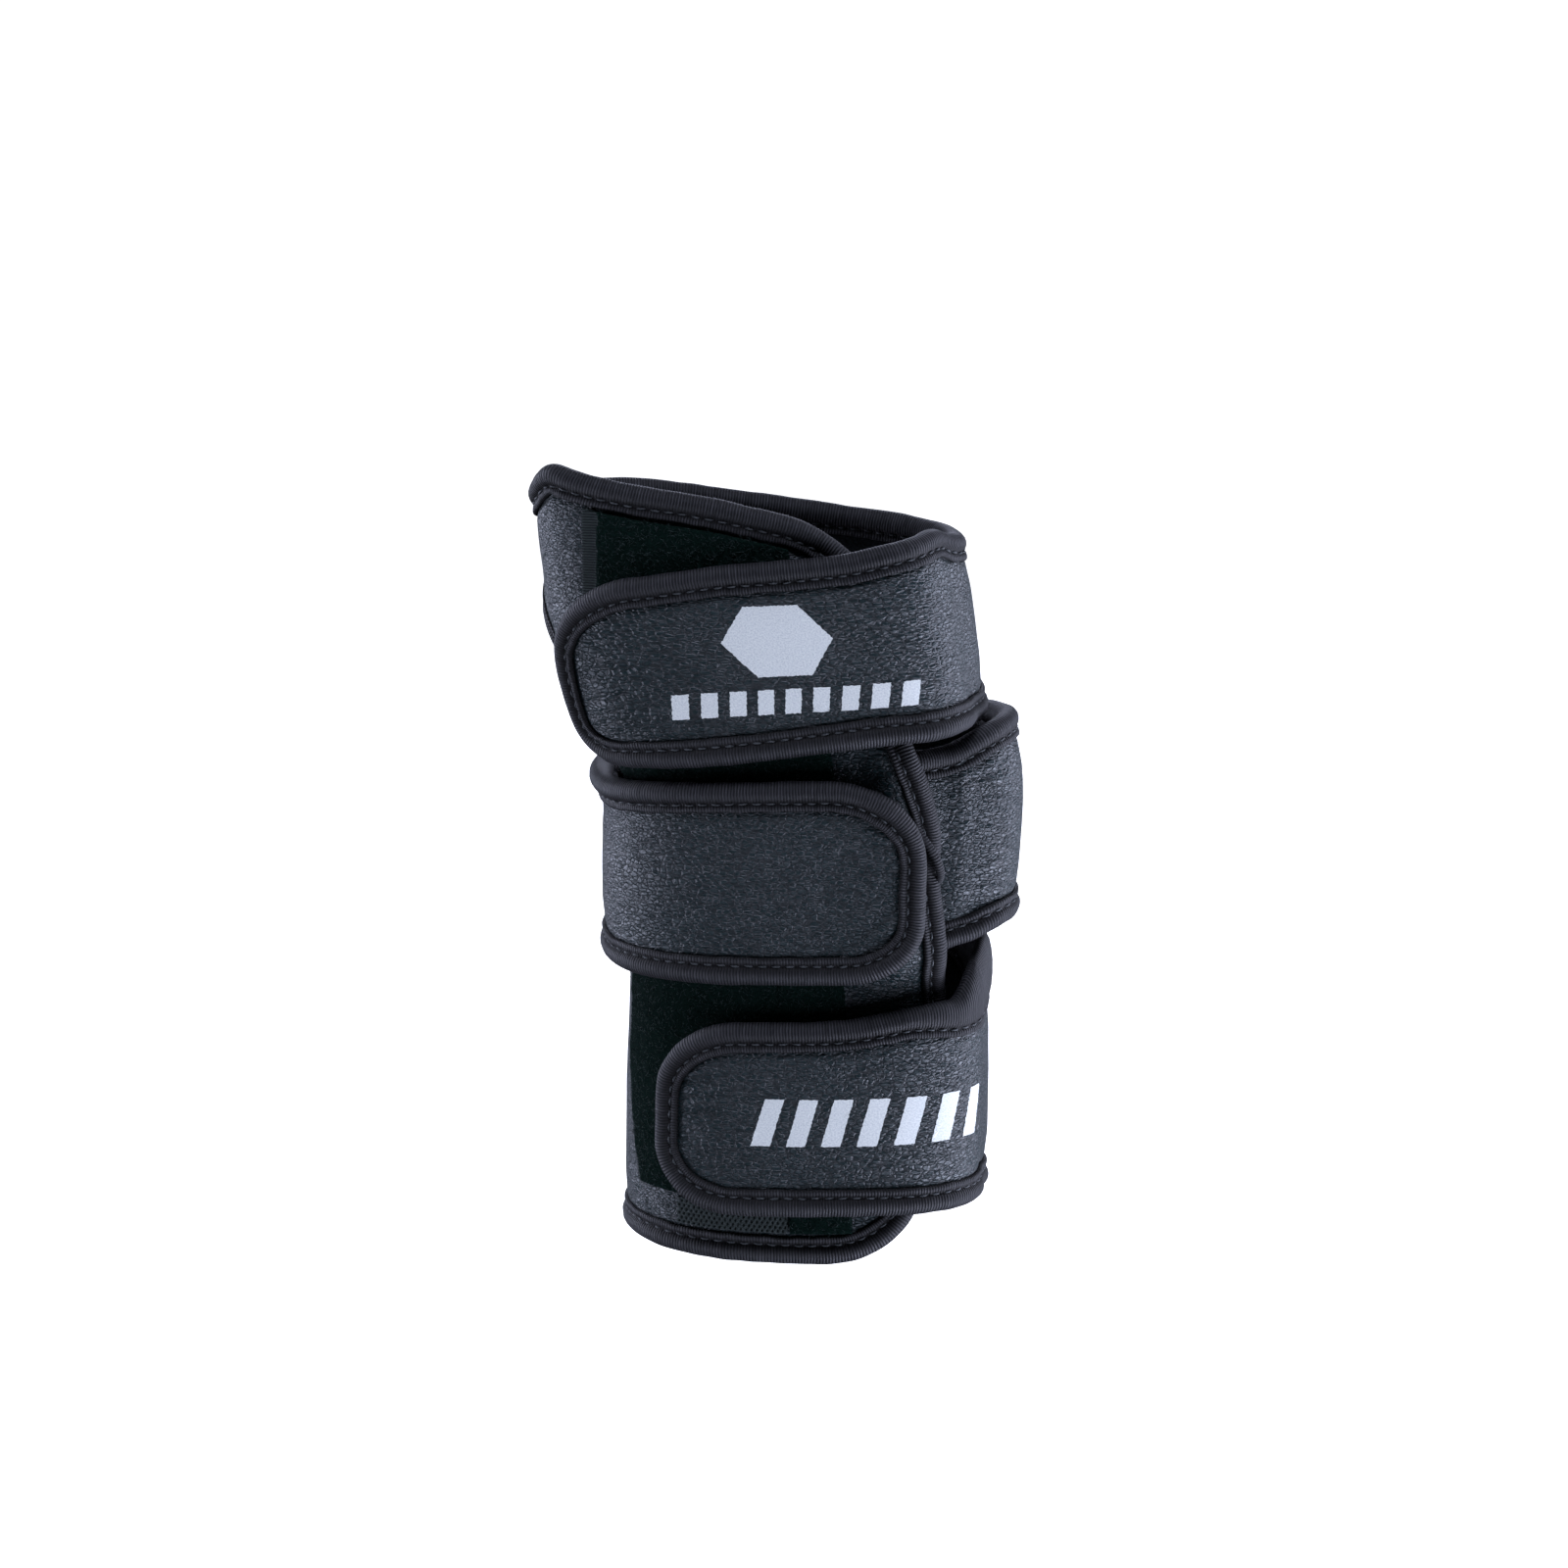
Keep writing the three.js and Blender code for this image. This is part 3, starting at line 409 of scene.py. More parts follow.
def noise(x, y, seed):
    """Smooth noise from -1 to 1 over a plane, one cell a unit."""
    table = np.random.default_rng(seed).uniform(-1, 1, (256, 256))
    i, j = np.floor(x).astype(int), np.floor(y).astype(int)
    fx, fy = smooth(x - i, 0, 1), smooth(y - j, 0, 1)
    a, b = table[i % 256, j % 256], table[(i + 1) % 256, j % 256]
    c, d = table[i % 256, (j + 1) % 256], table[(i + 1) % 256, (j + 1) % 256]
    return (a * (1 - fx) + b * fx) * (1 - fy) + (c * (1 - fx) + d * fx) * fy


def crease_depth(creases, angle, height):
    """Valleys with soft lips."""
    total = np.zeros(np.shape(angle))
    for a0, h0, a1, h1, bow, width, depth in creases:
        run, rise = (a1 - a0) * RATE, h1 - h0
        length = math.hypot(run, rise)
        ux, uy = run / length, rise / length
        x, y = (angle - a0) * RATE, height - h0
        t = (x * ux + y * uy) / length
        wander = bow * 4 * t * (1 - t) + CREASE_WANDER * noise(t * length / 2.2, np.full_like(t, a0), 7)
        off = (y * ux - x * uy - wander) / width
        ends = smooth(t, -0.05, 0.25) * (1 - smooth(t, 0.7, 1.05))
        total += ends * depth * (CREASE_LIP * np.exp(-((np.abs(off) - LIP_AWAY) ** 2)) - np.exp(-off**2))
    return total


def ripple_depth(ripples, angle, height, seed):
    """Fields of small folds, each fading away from its middle."""
    x, y = angle * RATE, height
    total = np.zeros(np.shape(angle))
    for at, spread, height0, tall, turn, pitch, depth in ripples:
        away = ((angle - at) / spread) ** 2 + ((height - height0) / tall) ** 2
        c, s = math.cos(math.radians(turn)), math.sin(math.radians(turn))
        wave = noise((x * c + y * s) / (pitch * 4.5), (y * c - x * s) / pitch, seed)
        total += depth * np.exp(-away) * (1 - 2 * np.abs(wave) ** 0.7)
    return total


class Leather:
    """One padded leather piece: its outline, its grid, and the relief of its outer face.

    lift gives the offset of its inner face. fill raises it along one angle: angle, spread, rise.
    """

    def __init__(self, name, path, grid, lift, puff, creases, ripples, seed, seams=(), fill=None):
        self.name, self.path, self.grid, self.lift = name, path, grid, lift
        self.puff, self.creases, self.ripples, self.seed = puff, creases, ripples, seed
        self.seams, self.fill = seams, fill
        edge = self.at(path[:, 0], path[:, 1], 0.5)
        self.tree = KDTree(len(edge))
        for k, p in enumerate(edge):
            self.tree.insert(p, k)
        self.tree.balance()

    def at(self, angle, height, share, extra=0):
        """Points at a share of the wall, from its inner face to its outer one."""
        return place(angle, height, self.lift(angle, height) + share * LEATHER_WALL + extra)

    def inset(self, angle, height):
        """Distance in from the leather's edge."""
        points = self.at(angle, height, 0.5).reshape(-1, 3)
        found = np.array([self.tree.find(p)[2] for p in points])
        return found.reshape(np.shape(angle))

    def relief(self, angle, height):
        """Pillow, press of the ribbon, waver, creases, ripples, fill and seams, all added up."""
        inset = self.inset(angle, height)
        x, y = angle * RATE, height
        shape = self.puff * smooth(inset, BINDING_FLANGE - 0.6, BINDING_FLANGE + PILLOW_RUN)
        shape -= PRESS_DEPTH * (1 - smooth(inset, BINDING_FLANGE - 0.3, BINDING_FLANGE + 0.9))
        waver = 0.1 * noise(x / 13, y / 11, self.seed) + 0.025 * noise(x / 4.1, y / 3.3, self.seed + 1)
        shape += waver * smooth(inset, BINDING_FLANGE, BINDING_FLANGE + 4)
        shape += crease_depth(self.creases, angle, height)
        shape += ripple_depth(self.ripples, angle, height, self.seed + 5)
        if self.fill:
            at, spread, rise = self.fill
            shape += rise * np.exp(-(((angle - at) / spread) ** 2))
        for at in self.seams:
            shape -= SEAM_DEPTH * np.exp(-(((angle - at) * RATE / SEAM_HALF_WIDTH) ** 2))
        return shape

    def outer(self, angle, height, extra=0):
        return self.at(angle, height, 1, self.relief(angle, height) + extra)


# Meshes

def linked(name, data):
    """An object in the scene."""
    made = bpy.data.objects.new(name, data)
    bpy.context.scene.collection.objects.link(made)
    return made


def new_object(name, points, faces, looks, uv, node=None, uv_name="flat", face_look=None):
    """A piece from quads over points in millimetres, with a UV map in millimetres.

    looks are its materials and node the CAD node that it stands for.
    """
    mesh = bpy.data.meshes.new(name)
    faces = np.asarray(faces)
    size = faces.shape[1]
    mesh.vertices.add(len(points))
    mesh.vertices.foreach_set("co", (np.asarray(points, float) * MM).ravel())
    mesh.loops.add(faces.size)
    mesh.loops.foreach_set("vertex_index", faces.ravel())
    mesh.polygons.add(len(faces))
    mesh.polygons.foreach_set("loop_start", np.arange(0, faces.size, size))
    mesh.polygons.foreach_set("loop_total", np.full(len(faces), size))
    if face_look is not None:
        mesh.polygons.foreach_set("material_index", np.asarray(face_look, np.int32))
    mesh.polygons.foreach_set("use_smooth", np.full(len(faces), True))
    mesh.update(calc_edges=True)
    mesh.validate()
    layer = mesh.uv_layers.new(name=uv_name)
    layer.data.foreach_set("uv", (np.asarray(uv, float).reshape(-1, 2) * MM)[faces.ravel()].ravel())
    for look in looks:
        mesh.materials.append(LOOK[look])
    piece = linked(name, mesh)
    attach(piece, "root")
    if node:
        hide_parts(node)
    return piece


def grid_faces(columns, rows, start=0):
    i, j = np.meshgrid(np.arange(columns - 1), np.arange(rows - 1), indexing="ij")
    a = (start + i * rows + j).ravel()
    return np.stack([a, a + rows, a + rows + 1, a + 1], -1)


def tube_faces(rings, count, start=0):
    """Quads between rings of count points each. With several starts, one tube from each."""
    near = np.reshape(start, (-1, 1, 1)) + np.arange(rings - 1)[:, None] * count
    side = np.arange(count)
    after = (side + 1) % count
    return np.stack([near + side, near + after, near + count + after, near + count + side],
                    -1).reshape(-1, 4)


def cap_faces(count, first, last):
    """Quads across a tube's two end rings, which begin at the points first and last."""
    m = np.arange(count // 2 - 1)
    ladder = np.stack([m, m + 1, count - 2 - m, count - 1 - m], -1)
    return np.concatenate([first + ladder[:, ::-1], last + ladder])


def facing_out(points, faces):
    """The faces of a closed mesh, all turned round if they face inwards."""
    a, b, c, d = (points[faces[:, k]] for k in range(4))
    volume = np.einsum("ij,ij->i", a + b + c + d, np.cross(c - a, d - b)).sum()
    return faces[:, ::-1] if volume < 0 else faces


def tube_points(centre, side, out, across, up):
    """Rings round a line: how far each point lies from it sideways and outwards."""
    return (centre[..., None, :] + side[..., None, :] * across[..., None]
            + out[..., None, :] * up[..., None])


def round_tube(centre, under, half_width, half_depth, sides):
    """Points of tubes along lines that lie over other lines."""
    tangent = unit(np.gradient(centre, axis=-2))
    side = unit(np.cross(tangent, unit(centre - under)))
    turn = np.arange(sides) * 2 * math.pi / sides
    points = tube_points(centre, side, np.cross(side, tangent), half_width * np.cos(turn),
                         half_depth * np.sin(turn))
    return points.reshape(-1, 3)


def length_along(points):
    return np.concatenate([[0], np.cumsum(np.linalg.norm(np.diff(points, axis=0), axis=1))])


def slab(name, inner, outer, uv, looks, node, face_look=0):
    """A closed wall between two grids of points. The second look is its inner face's."""
    columns, rows = inner.shape[:2]
    count = columns * rows
    points = np.concatenate([outer.reshape(-1, 3), inner.reshape(-1, 3)])
    walls = [grid_faces(columns, rows), grid_faces(columns, rows, count)[:, ::-1]]
    rim = np.concatenate([
        np.arange(columns) * rows,
        (columns - 1) * rows + np.arange(1, rows),
        np.arange(columns - 2, -1, -1) * rows + rows - 1,
        np.arange(rows - 2, 0, -1),
    ])
    after = np.roll(rim, -1)
    walls.append(np.stack([rim, rim + count, after + count, after], -1))
    face_look = np.concatenate([np.broadcast_to(face_look, len(walls[0])), np.ones(len(walls[1])),
                                np.zeros(len(rim))])
    return new_object(name, points, facing_out(points, np.concatenate(walls)), looks,
                      np.concatenate([uv, uv]), node, face_look=face_look)


def leather_piece(leather):
    angle, height = leather.grid[..., 0], leather.grid[..., 1]
    piece = slab(leather.name + "_leather", leather.at(angle, height, 0), leather.outer(angle, height),
                 np.stack([angle * RATE, height], -1), ["leather", "lining"], leather.name)


# Bindings

# Half of the ribbon's section, from its flange's edge to its bead: in from the leather's edge, and
# out from the middle of the wall
RIBBON = [
    (3.70, 1.42), (3.67, 1.72), (3.48, 1.97), (3.08, 2.08), (2.62, 2.03), (2.26, 1.82), (1.98, 1.62),
    (1.72, 1.62), (1.5, 1.84), (1.2, 2.14), (0.7, 2.42), (0.05, 2.54), (-0.65, 2.46), (-1.3, 2.14),
    (-1.86, 1.62), (-2.27, 0.92), (-2.44, 0.3),
]
# Where the leather's edge sits inside the ribbon
RIBBON_SLOT = [(3.7, -1.3), (-0.3, -1.3), (-0.3, 1.3), (3.7, 1.3)]
BEAD_START = 1.0
BEAD_REACH = BEAD_START + 2.44
GROOVE = 1.85
GROOVE_SPREAD = 0.55
GROOVE_PULL = 0.11
FLANGE_FRAY = 0.16
FLANGE_LIFT = 0.06
RING_STEP = 0.7
SEAM_LEAN_RUN = 7
STITCH_PITCH = 2.8
STITCH_LENGTH = 2.0
STITCH_RISE = 1.76
STITCH_SIDES = 6
# Along a stitch: its half thickness and how far it stands up
STITCH_GIRTH = 0.23 * np.array([0.35, 0.85, 1, 1, 0.85, 0.35])
STITCH_SINK = np.array([-0.3, -0.06, 0.04, 0.04, -0.06, -0.3])


def resample(leather, path, step):
    """A path of (angle, height) with even steps along the middle of the wall."""
    run = length_along(leather.at(path[:, 0], path[:, 1], 0.5))
    count = max(int(run[-1] / step), 4)
    even = np.linspace(0, run[-1], count + 1)
    return np.stack([np.interp(even, run, path[:, 0]), np.interp(even, run, path[:, 1])], -1), even


def ease(values, width):
    """Values along a path, evened out over a few rings."""
    reach = np.arange(-3 * width, 3 * width + 1)
    weight = np.exp(-(reach / width) ** 2 / 2)
    weight /= weight.sum()
    padded = np.concatenate([2 * values[:1] - values[1: 3 * width + 1][::-1], values,
                             2 * values[-1:] - values[-3 * width - 1: -1][::-1]])
    return np.stack([np.convolve(padded[:, k], weight, "valid") for k in range(values.shape[1])], -1)


def path_frames(leather, path, hint):
    """Edge points with their tangent, way in and way out. The hint: a ring, and its rough way in."""
    angle, height = path[:, 0], path[:, 1]
    edge = ease(leather.at(angle, height, 0.5), 2)
    tangent = unit(ease(np.gradient(edge, axis=0), 2))
    across = leather.at(angle + 0.6, height, 0.5) - leather.at(angle - 0.6, height, 0.5)
    upward = leather.at(angle, height + 0.4, 0.5) - leather.at(angle, height - 0.4, 0.5)
    out = ease(unit(np.cross(across, upward)), 4)
    out = unit(out - tangent * np.einsum("ij,ij->i", out, tangent)[:, None])
    inward = unit(np.cross(out, tangent))
    ring, towards = hint
    if np.dot(inward[ring], towards) < 0:
        inward = -inward
    return edge, tangent, inward, out


def shear_ends(inward, tangent, even, seam):
    """How far each ring leans along the path, so that both end rings lie along the seam."""
    lean = np.zeros(len(even))
    if seam is None:
        return lean
    for end in (0, -1):
        way = unit(seam) * math.copysign(1, np.dot(seam, inward[end]))
        share = np.dot(way, tangent[end]) / max(np.dot(way, inward[end]), 0.35)
        lean += share * np.clip(1 - np.abs(even - even[end]) / SEAM_LEAN_RUN, 0, 1) ** 2
    return lean


def ribbon_section(path, even, seed, widen, pinch):
    """The ribbon's section at each ring: in from the edge and out from the wall's middle."""
    half = np.array(RIBBON)
    outer = np.concatenate([half, (half * [1, -1])[::-1]])
    ring = np.concatenate([outer, RIBBON_SLOT])
    on_ribbon = np.arange(len(ring)) < len(outer)
    bead = on_ribbon * smooth(-ring[:, 0], -1.6, -0.6)
    groove = on_ribbon * np.exp(-(((ring[:, 0] - GROOVE) / GROOVE_SPREAD) ** 2))
    flange = on_ribbon * smooth(ring[:, 0], 2.2, 2.9)
    side = np.sign(ring[:, 1])

    def waver(pitch, row):
        return noise(even / pitch, np.full(len(even), float(row)), seed)

    swell = 0.05 * waver(9, 0) + 0.03 * waver(3, 5)
    if pinch:
        swell = swell - pinch(path[:, 0], path[:, 1])
    wider = widen(path[:, 0], path[:, 1]) if widen else np.zeros(len(even))
    pull = GROOVE_PULL * np.cos(2 * math.pi * even / STITCH_PITCH)
    a = (ring[:, 0] + bead * np.minimum(ring[:, 0], 0) * swell[:, None]
         + np.minimum(ring[:, 0] - BEAD_START, 0) / BEAD_REACH * wider[:, None]
         + flange * FLANGE_FRAY * waver(2.4, 9)[:, None])
    b = (ring[:, 1] * (1 + bead * swell[:, None]) + side * groove * pull[:, None]
         + side * flange * FLANGE_LIFT * waver(2.9, 3)[:, None])
    return a, b, ring, len(outer)


def binding(node, leather, path, hint, seed, seam=None, widen=None, pinch=None):
    """Ribbon and stitches along a path on the leather's edge."""
    path, even = resample(leather, path, RING_STEP)
    edge, tangent, inward, out = path_frames(leather, path, hint)
    lean = shear_ends(inward, tangent, even, seam)
    a, b, ring, outer = ribbon_section(path, even, seed, widen, pinch)
    points = tube_points(edge, inward, out, a, b) + tangent[:, None] * (a * lean[:, None])[..., None]
    points = points.reshape(-1, 3)
    rings, count = len(even), len(ring)
    faces = np.concatenate([tube_faces(rings, count), cap_faces(outer, 0, (rings - 1) * count)])
    uv = np.stack(np.broadcast_arrays(even[:, None], ring[:, 0]), -1)
    new_object(node + "_ribbon", points, facing_out(points, faces), ["ribbon"], uv, node,
               uv_name="along")
    stitches(node + "_stitches", edge, inward, out, even, seed)


def stitches(name, edge, inward, out, even, seed):
    """Thread on both faces of the ribbon's groove."""
    rng = np.random.default_rng(seed + 40)
    centres = np.arange(STITCH_PITCH * 0.8, even[-1] - STITCH_LENGTH, STITCH_PITCH)
    rings = len(STITCH_GIRTH)
    along = np.linspace(-0.5, 0.5, rings) * STITCH_LENGTH
    turn = np.arange(STITCH_SIDES) * 2 * math.pi / STITCH_SIDES
    points, faces, uv = [], [], []

    def at(values, run):
        return np.stack([np.interp(run, even, values[:, k]) for k in range(3)], -1)

    for face in (1, -1):
        for centre in centres:
            slant = rng.uniform(-0.12, 0.12)
            shift = rng.uniform(-0.08, 0.08)
            run = centre + along
            across = (GROOVE + shift + slant * along)[:, None] + STITCH_GIRTH[:, None] * np.cos(turn)
            up = (STITCH_RISE + STITCH_SINK)[:, None] + STITCH_GIRTH[:, None] * np.sin(turn)
            start = len(points) * STITCH_SIDES * rings
            points.append(tube_points(at(edge, run), unit(at(inward, run)), unit(at(out, run)),
                                      across, face * up).reshape(-1, 3))
            uv.append(np.stack(np.broadcast_arrays(run[:, None], turn * 0.2), -1).reshape(-1, 2))
            faces += [tube_faces(rings, STITCH_SIDES, start),
                      cap_faces(STITCH_SIDES, start, start + (rings - 1) * STITCH_SIDES)]
    new_object(name, np.concatenate(points), np.concatenate(faces), ["thread"], np.concatenate(uv),
               uv_name="along")


# Materials

class Shade:
    """A material's node tree, built with short calls."""

    def __init__(self, name, roughness, **sockets):
        self.material = bpy.data.materials.new(name)
        self.material.use_nodes = True
        self.tree = self.material.node_tree
        self.shader = self.tree.nodes["Principled BSDF"]
        self.shader.inputs["Roughness"].default_value = roughness
        for socket, value in sockets.items():
            self.shader.inputs[socket.replace("_", " ")].default_value = value

    def add(self, kind, *inputs, out=0, **settings):
        """A node with its inputs in order, each a socket, a value or None, and one of its outputs."""
        node = self.tree.nodes.new(kind)
        for key, value in settings.items():
            setattr(node, key, value)
        for key, value in enumerate(inputs):
            if hasattr(value, "is_output"):
                self.tree.links.new(value, node.inputs[key])
            elif value is not None:
                node.inputs[key].default_value = value
        return node.outputs[out]

    def math(self, operation, a, b=0.0, c=0.0):
        return self.add("ShaderNodeMath", a, b, c, operation=operation)

    def vector(self, operation, a, b):
        return self.add("ShaderNodeVectorMath", a, b, operation=operation)

    def flat(self, name, stretch=(1, 1)):
        """A UV map's place in millimetres, stretched."""
        uv = self.add("ShaderNodeUVMap", uv_map=name)
        return self.vector("MULTIPLY", uv, (1000 * stretch[0], 1000 * stretch[1], 1000))

    def axis(self, where, axis):
        return self.add("ShaderNodeSeparateXYZ", where, out=axis)

    def noise(self, where, scale, detail=2.0, roughness=0.5, out=0):
        return self.add("ShaderNodeTexNoise", where, None, scale, detail, roughness, out=out)

    def cells(self, where, scale, feature):
        return self.add("ShaderNodeTexVoronoi", where, None, scale, feature=feature)

    def ribs(self, run, pitch):
        """Waves from 0 to 1 along a run."""
        wave = self.math("SINE", self.math("MULTIPLY", run, 2 * math.pi / pitch))
        return self.math("MULTIPLY_ADD", wave, 0.5, 0.5)

    def warp(self, where, scale, amount):
        """The place, pushed about by noise."""
        centred = self.vector("SUBTRACT", self.noise(where, scale, out=1), (0.5, 0.5, 0.5))
        return self.vector("ADD", where, self.vector("MULTIPLY", centred, (amount, amount, amount)))

    def ramp(self, factor, *stops):
        """Colours along a factor. A stop: its place and its colour, or one number for a grey."""
        node = self.tree.nodes.new("ShaderNodeValToRGB")
        self.tree.links.new(factor, node.inputs[0])
        for _ in stops[2:]:
            node.color_ramp.elements.new(0.5)
        for element, (position, colour) in zip(node.color_ramp.elements, stops):
            element.position = position
            element.color = (*np.broadcast_to(colour, 3), 1)
        return node.outputs["Color"]

    def mix(self, factor, a, b, blend="MIX"):
        """Two colours mixed, each a socket or three numbers."""
        a, b = (c if hasattr(c, "is_output") else (*c, 1) for c in (a, b))
        return self.add("ShaderNodeMix", factor, *[None] * 5, a, b, out=2, data_type="RGBA",
                        blend_type=blend)

    def bump(self, height, distance, strength=1.0):
        node = self.tree.nodes.new("ShaderNodeBump")
        node.inputs["Strength"].default_value = strength
        node.inputs["Distance"].default_value = distance * MM
        self.tree.links.new(height, node.inputs["Height"])
        return node.outputs["Normal"]

    def finish(self, colour, normal=None, roughness=None):
        for socket, value in (("Base Color", colour), ("Normal", normal), ("Roughness", roughness)):
            if value is not None:
                self.tree.links.new(value, self.shader.inputs[socket])
        return self.material


RIB_PITCH = 0.62
SELVEDGE_RIB_PITCH = 0.55
# Painted light: the bead's top is painted lighter as a painted highlight, and the stitch groove and the
# flange's edge are painted darker as painted shade.
# The ribbon's painted shading over its width: a share of the way from bead to flange, and a brightness
RIBBON_PAINTED_SHADING = [
    (0.0, 0.6), (0.25, 1.0), (0.45, 0.75), (0.6, 0.22), (0.7, 0.05), (0.77, 0.3), (0.85, 0.9),
    (0.93, 0.7), (0.985, 0.06),
]


def leather_look():
    """Pebbled black leather, duller in its valleys, which are darkened with painted shade."""
    s = Shade("leather", 0.47, Specular_IOR_Level=0.5)
    where = s.flat("flat", (0.6, 1.0))
    edges = s.cells(s.warp(where, 0.9, 0.35), 1.3, "DISTANCE_TO_EDGE")
    pebble = s.add("ShaderNodeMapRange", edges, 0.0, 0.2, 0.0, 1.0)
    fold = s.noise(s.warp(s.flat("flat", (0.3, 1.0)), 0.4, 0.6), 0.85)
    height = s.math("MULTIPLY_ADD", fold, 4.0, pebble)
    height = s.math("MULTIPLY_ADD", s.noise(where, 5.0), 0.3, height)
    shade = s.ramp(s.noise(s.flat("flat"), 0.11, 4.0),
                   (0.3, (0.0025, 0.011, 0.0125)), (0.7, (0.004, 0.0155, 0.0175)))
    # Painted shade: the colour is darkened in the grain's valleys and slightly lifted on the pebbles'
    # tops.
    grain_valley_painted_shade = s.mix(pebble, (0.3, 0.3, 0.3), (1.1, 1.1, 1.1))
    rough = s.math("MULTIPLY_ADD", pebble, -0.13, 0.5)
    rough = s.math("MULTIPLY_ADD", s.noise(where, 0.4, 3.0), 0.1, rough)
    return s.finish(s.mix(1.0, shade, grain_valley_painted_shade, "MULTIPLY"), s.bump(height, 0.16), rough)


def lining_look():
    """Dark knit, seen inside the straps."""
    s = Shade("lining", 0.9, Specular_IOR_Level=0.15)
    knit = s.cells(s.flat("flat"), 1.6, "F1")
    colour = s.ramp(knit, (0.0, (0.0098, 0.014, 0.0161)), (0.6, (0.0042, 0.006, 0.0069)))
    return s.finish(colour, s.bump(knit, 0.2, 0.8))


def ribbon_look():
    """Ribbed ribbon, with painted shade in its stitch groove and at its flange's edge, and a painted
    highlight on its bead.
    """
    s = Shade("ribbon", 0.62, Specular_IOR_Level=0.25)
    where = s.flat("along")
    rib = s.ribs(s.axis(s.warp(where, 0.25, 0.3), 0), RIB_PITCH)
    yarn = s.noise(s.flat("along", (1.0, 0.35)), 6.0)
    cloth = s.noise(where, 0.5, 3.0)
    width = s.add("ShaderNodeMapRange", s.axis(where, 1), -2.5, BINDING_FLANGE, 0.0, 1.0)
    dark = s.mix(cloth, (0.0006, 0.0012, 0.0016), (0.0014, 0.0024, 0.003))
    light = s.mix(cloth, (0.036, 0.037, 0.041), (0.07, 0.068, 0.075))
    uneven = s.noise(s.flat("along", (1.0, 0.12)), 0.9, 2.0, 0.7)
    lit = s.math("MULTIPLY", s.math("POWER", rib, 1.6), s.math("MULTIPLY_ADD", uneven, 2.2, -0.35))
    # The width bands multiply in a painted highlight on the bead and painted shade in the groove and at
    # the flange's edge.
    colour = s.mix(1.0, s.mix(lit, dark, light), s.ramp(width, *RIBBON_PAINTED_SHADING), "MULTIPLY")
    return s.finish(colour, s.bump(s.math("MULTIPLY_ADD", yarn, 0.5, rib), 0.13))


def thread_look():
    s = Shade("thread", 0.5, Specular_IOR_Level=0.3)
    twist = s.noise(s.flat("along", (4.0, 1.5)), 1.2)
    colour = s.ramp(twist, (0.3, (0.018, 0.022, 0.024)), (0.7, (0.08, 0.088, 0.092)))
    return s.finish(colour, s.bump(s.noise(s.flat("along"), 4.0), 0.06, 0.8))


def pile_look():
    """The loop tape's matted loops."""
    s = Shade("pile", 0.95, Specular_IOR_Level=0.04)
    fluff = s.noise(s.warp(s.flat("flat"), 0.8, 0.8), 2.4, 5.0, 0.7)
    colour = s.ramp(fluff, (0.35, (0.0016, 0.0055, 0.0042)), (0.7, (0.006, 0.019, 0.0145)))
    return s.finish(colour, s.bump(fluff, 0.7))


def fibre_look():
    s = Shade("fibre", 0.6, Specular_IOR_Level=0.15)
    return s.finish(s.ramp(s.noise(s.flat("flat"), 2.5),
                           (0.4, (0.004, 0.012, 0.010)), (0.75, (0.06, 0.085, 0.08))))


def selvedge_look():
    """The loop tape's woven edge."""
    s = Shade("selvedge", 0.75, Specular_IOR_Level=0.15)
    rib = s.ribs(s.axis(s.warp(s.flat("flat"), 0.6, 0.25), 1), SELVEDGE_RIB_PITCH)
    yarn = s.noise(s.flat("flat"), 5.0)
    colour = s.mix(rib, (0.0025, 0.005, 0.005), (0.034, 0.044, 0.042))
    return s.finish(colour, s.bump(s.math("MULTIPLY_ADD", yarn, 0.4, rib), 0.15))


def webbing_look():
    s = Shade("webbing", 0.7, Specular_IOR_Level=0.2)
    yarn = s.noise(s.flat("flat"), 5.0, 3.0)
    colour = s.ramp(yarn, (0.3, (0.014, 0.021, 0.02)), (0.75, (0.05, 0.062, 0.058)))
    return s.finish(colour, s.bump(yarn, 0.12, 0.9))


def ink_look():
    """Pale print, thin where the leather's grain shows through."""
    s = Shade("ink", 0.62)
    speck = s.noise(s.flat("flat"), 3.2, 3.0, 0.6)
    colour = s.ramp(speck, (0.32, (0.60, 0.65, 0.64)), (0.6, (0.84, 0.88, 0.84)))
    return s.finish(colour, s.bump(speck, 0.05, 0.7))


LOOK = {
    "leather": leather_look(),
    "lining": lining_look(),
    "ribbon": ribbon_look(),
    "thread": thread_look(),
    "pile": pile_look(),
    "fibre": fibre_look(),
    "selvedge": selvedge_look(),
    "webbing": webbing_look(),
    "ink": ink_look(),
}


# The leather pieces

# A crease: angle and height of its two ends, bow, width and depth. A field of ripples: angle and
# spread, height and spread, turn, pitch and depth.

def strap_height(strap, column, angle):
    """Height of a strap's edge: column 1 is its foot, 2 its head."""
    stations, width, base = strap
    return base + width * curve(stations, column, angle)


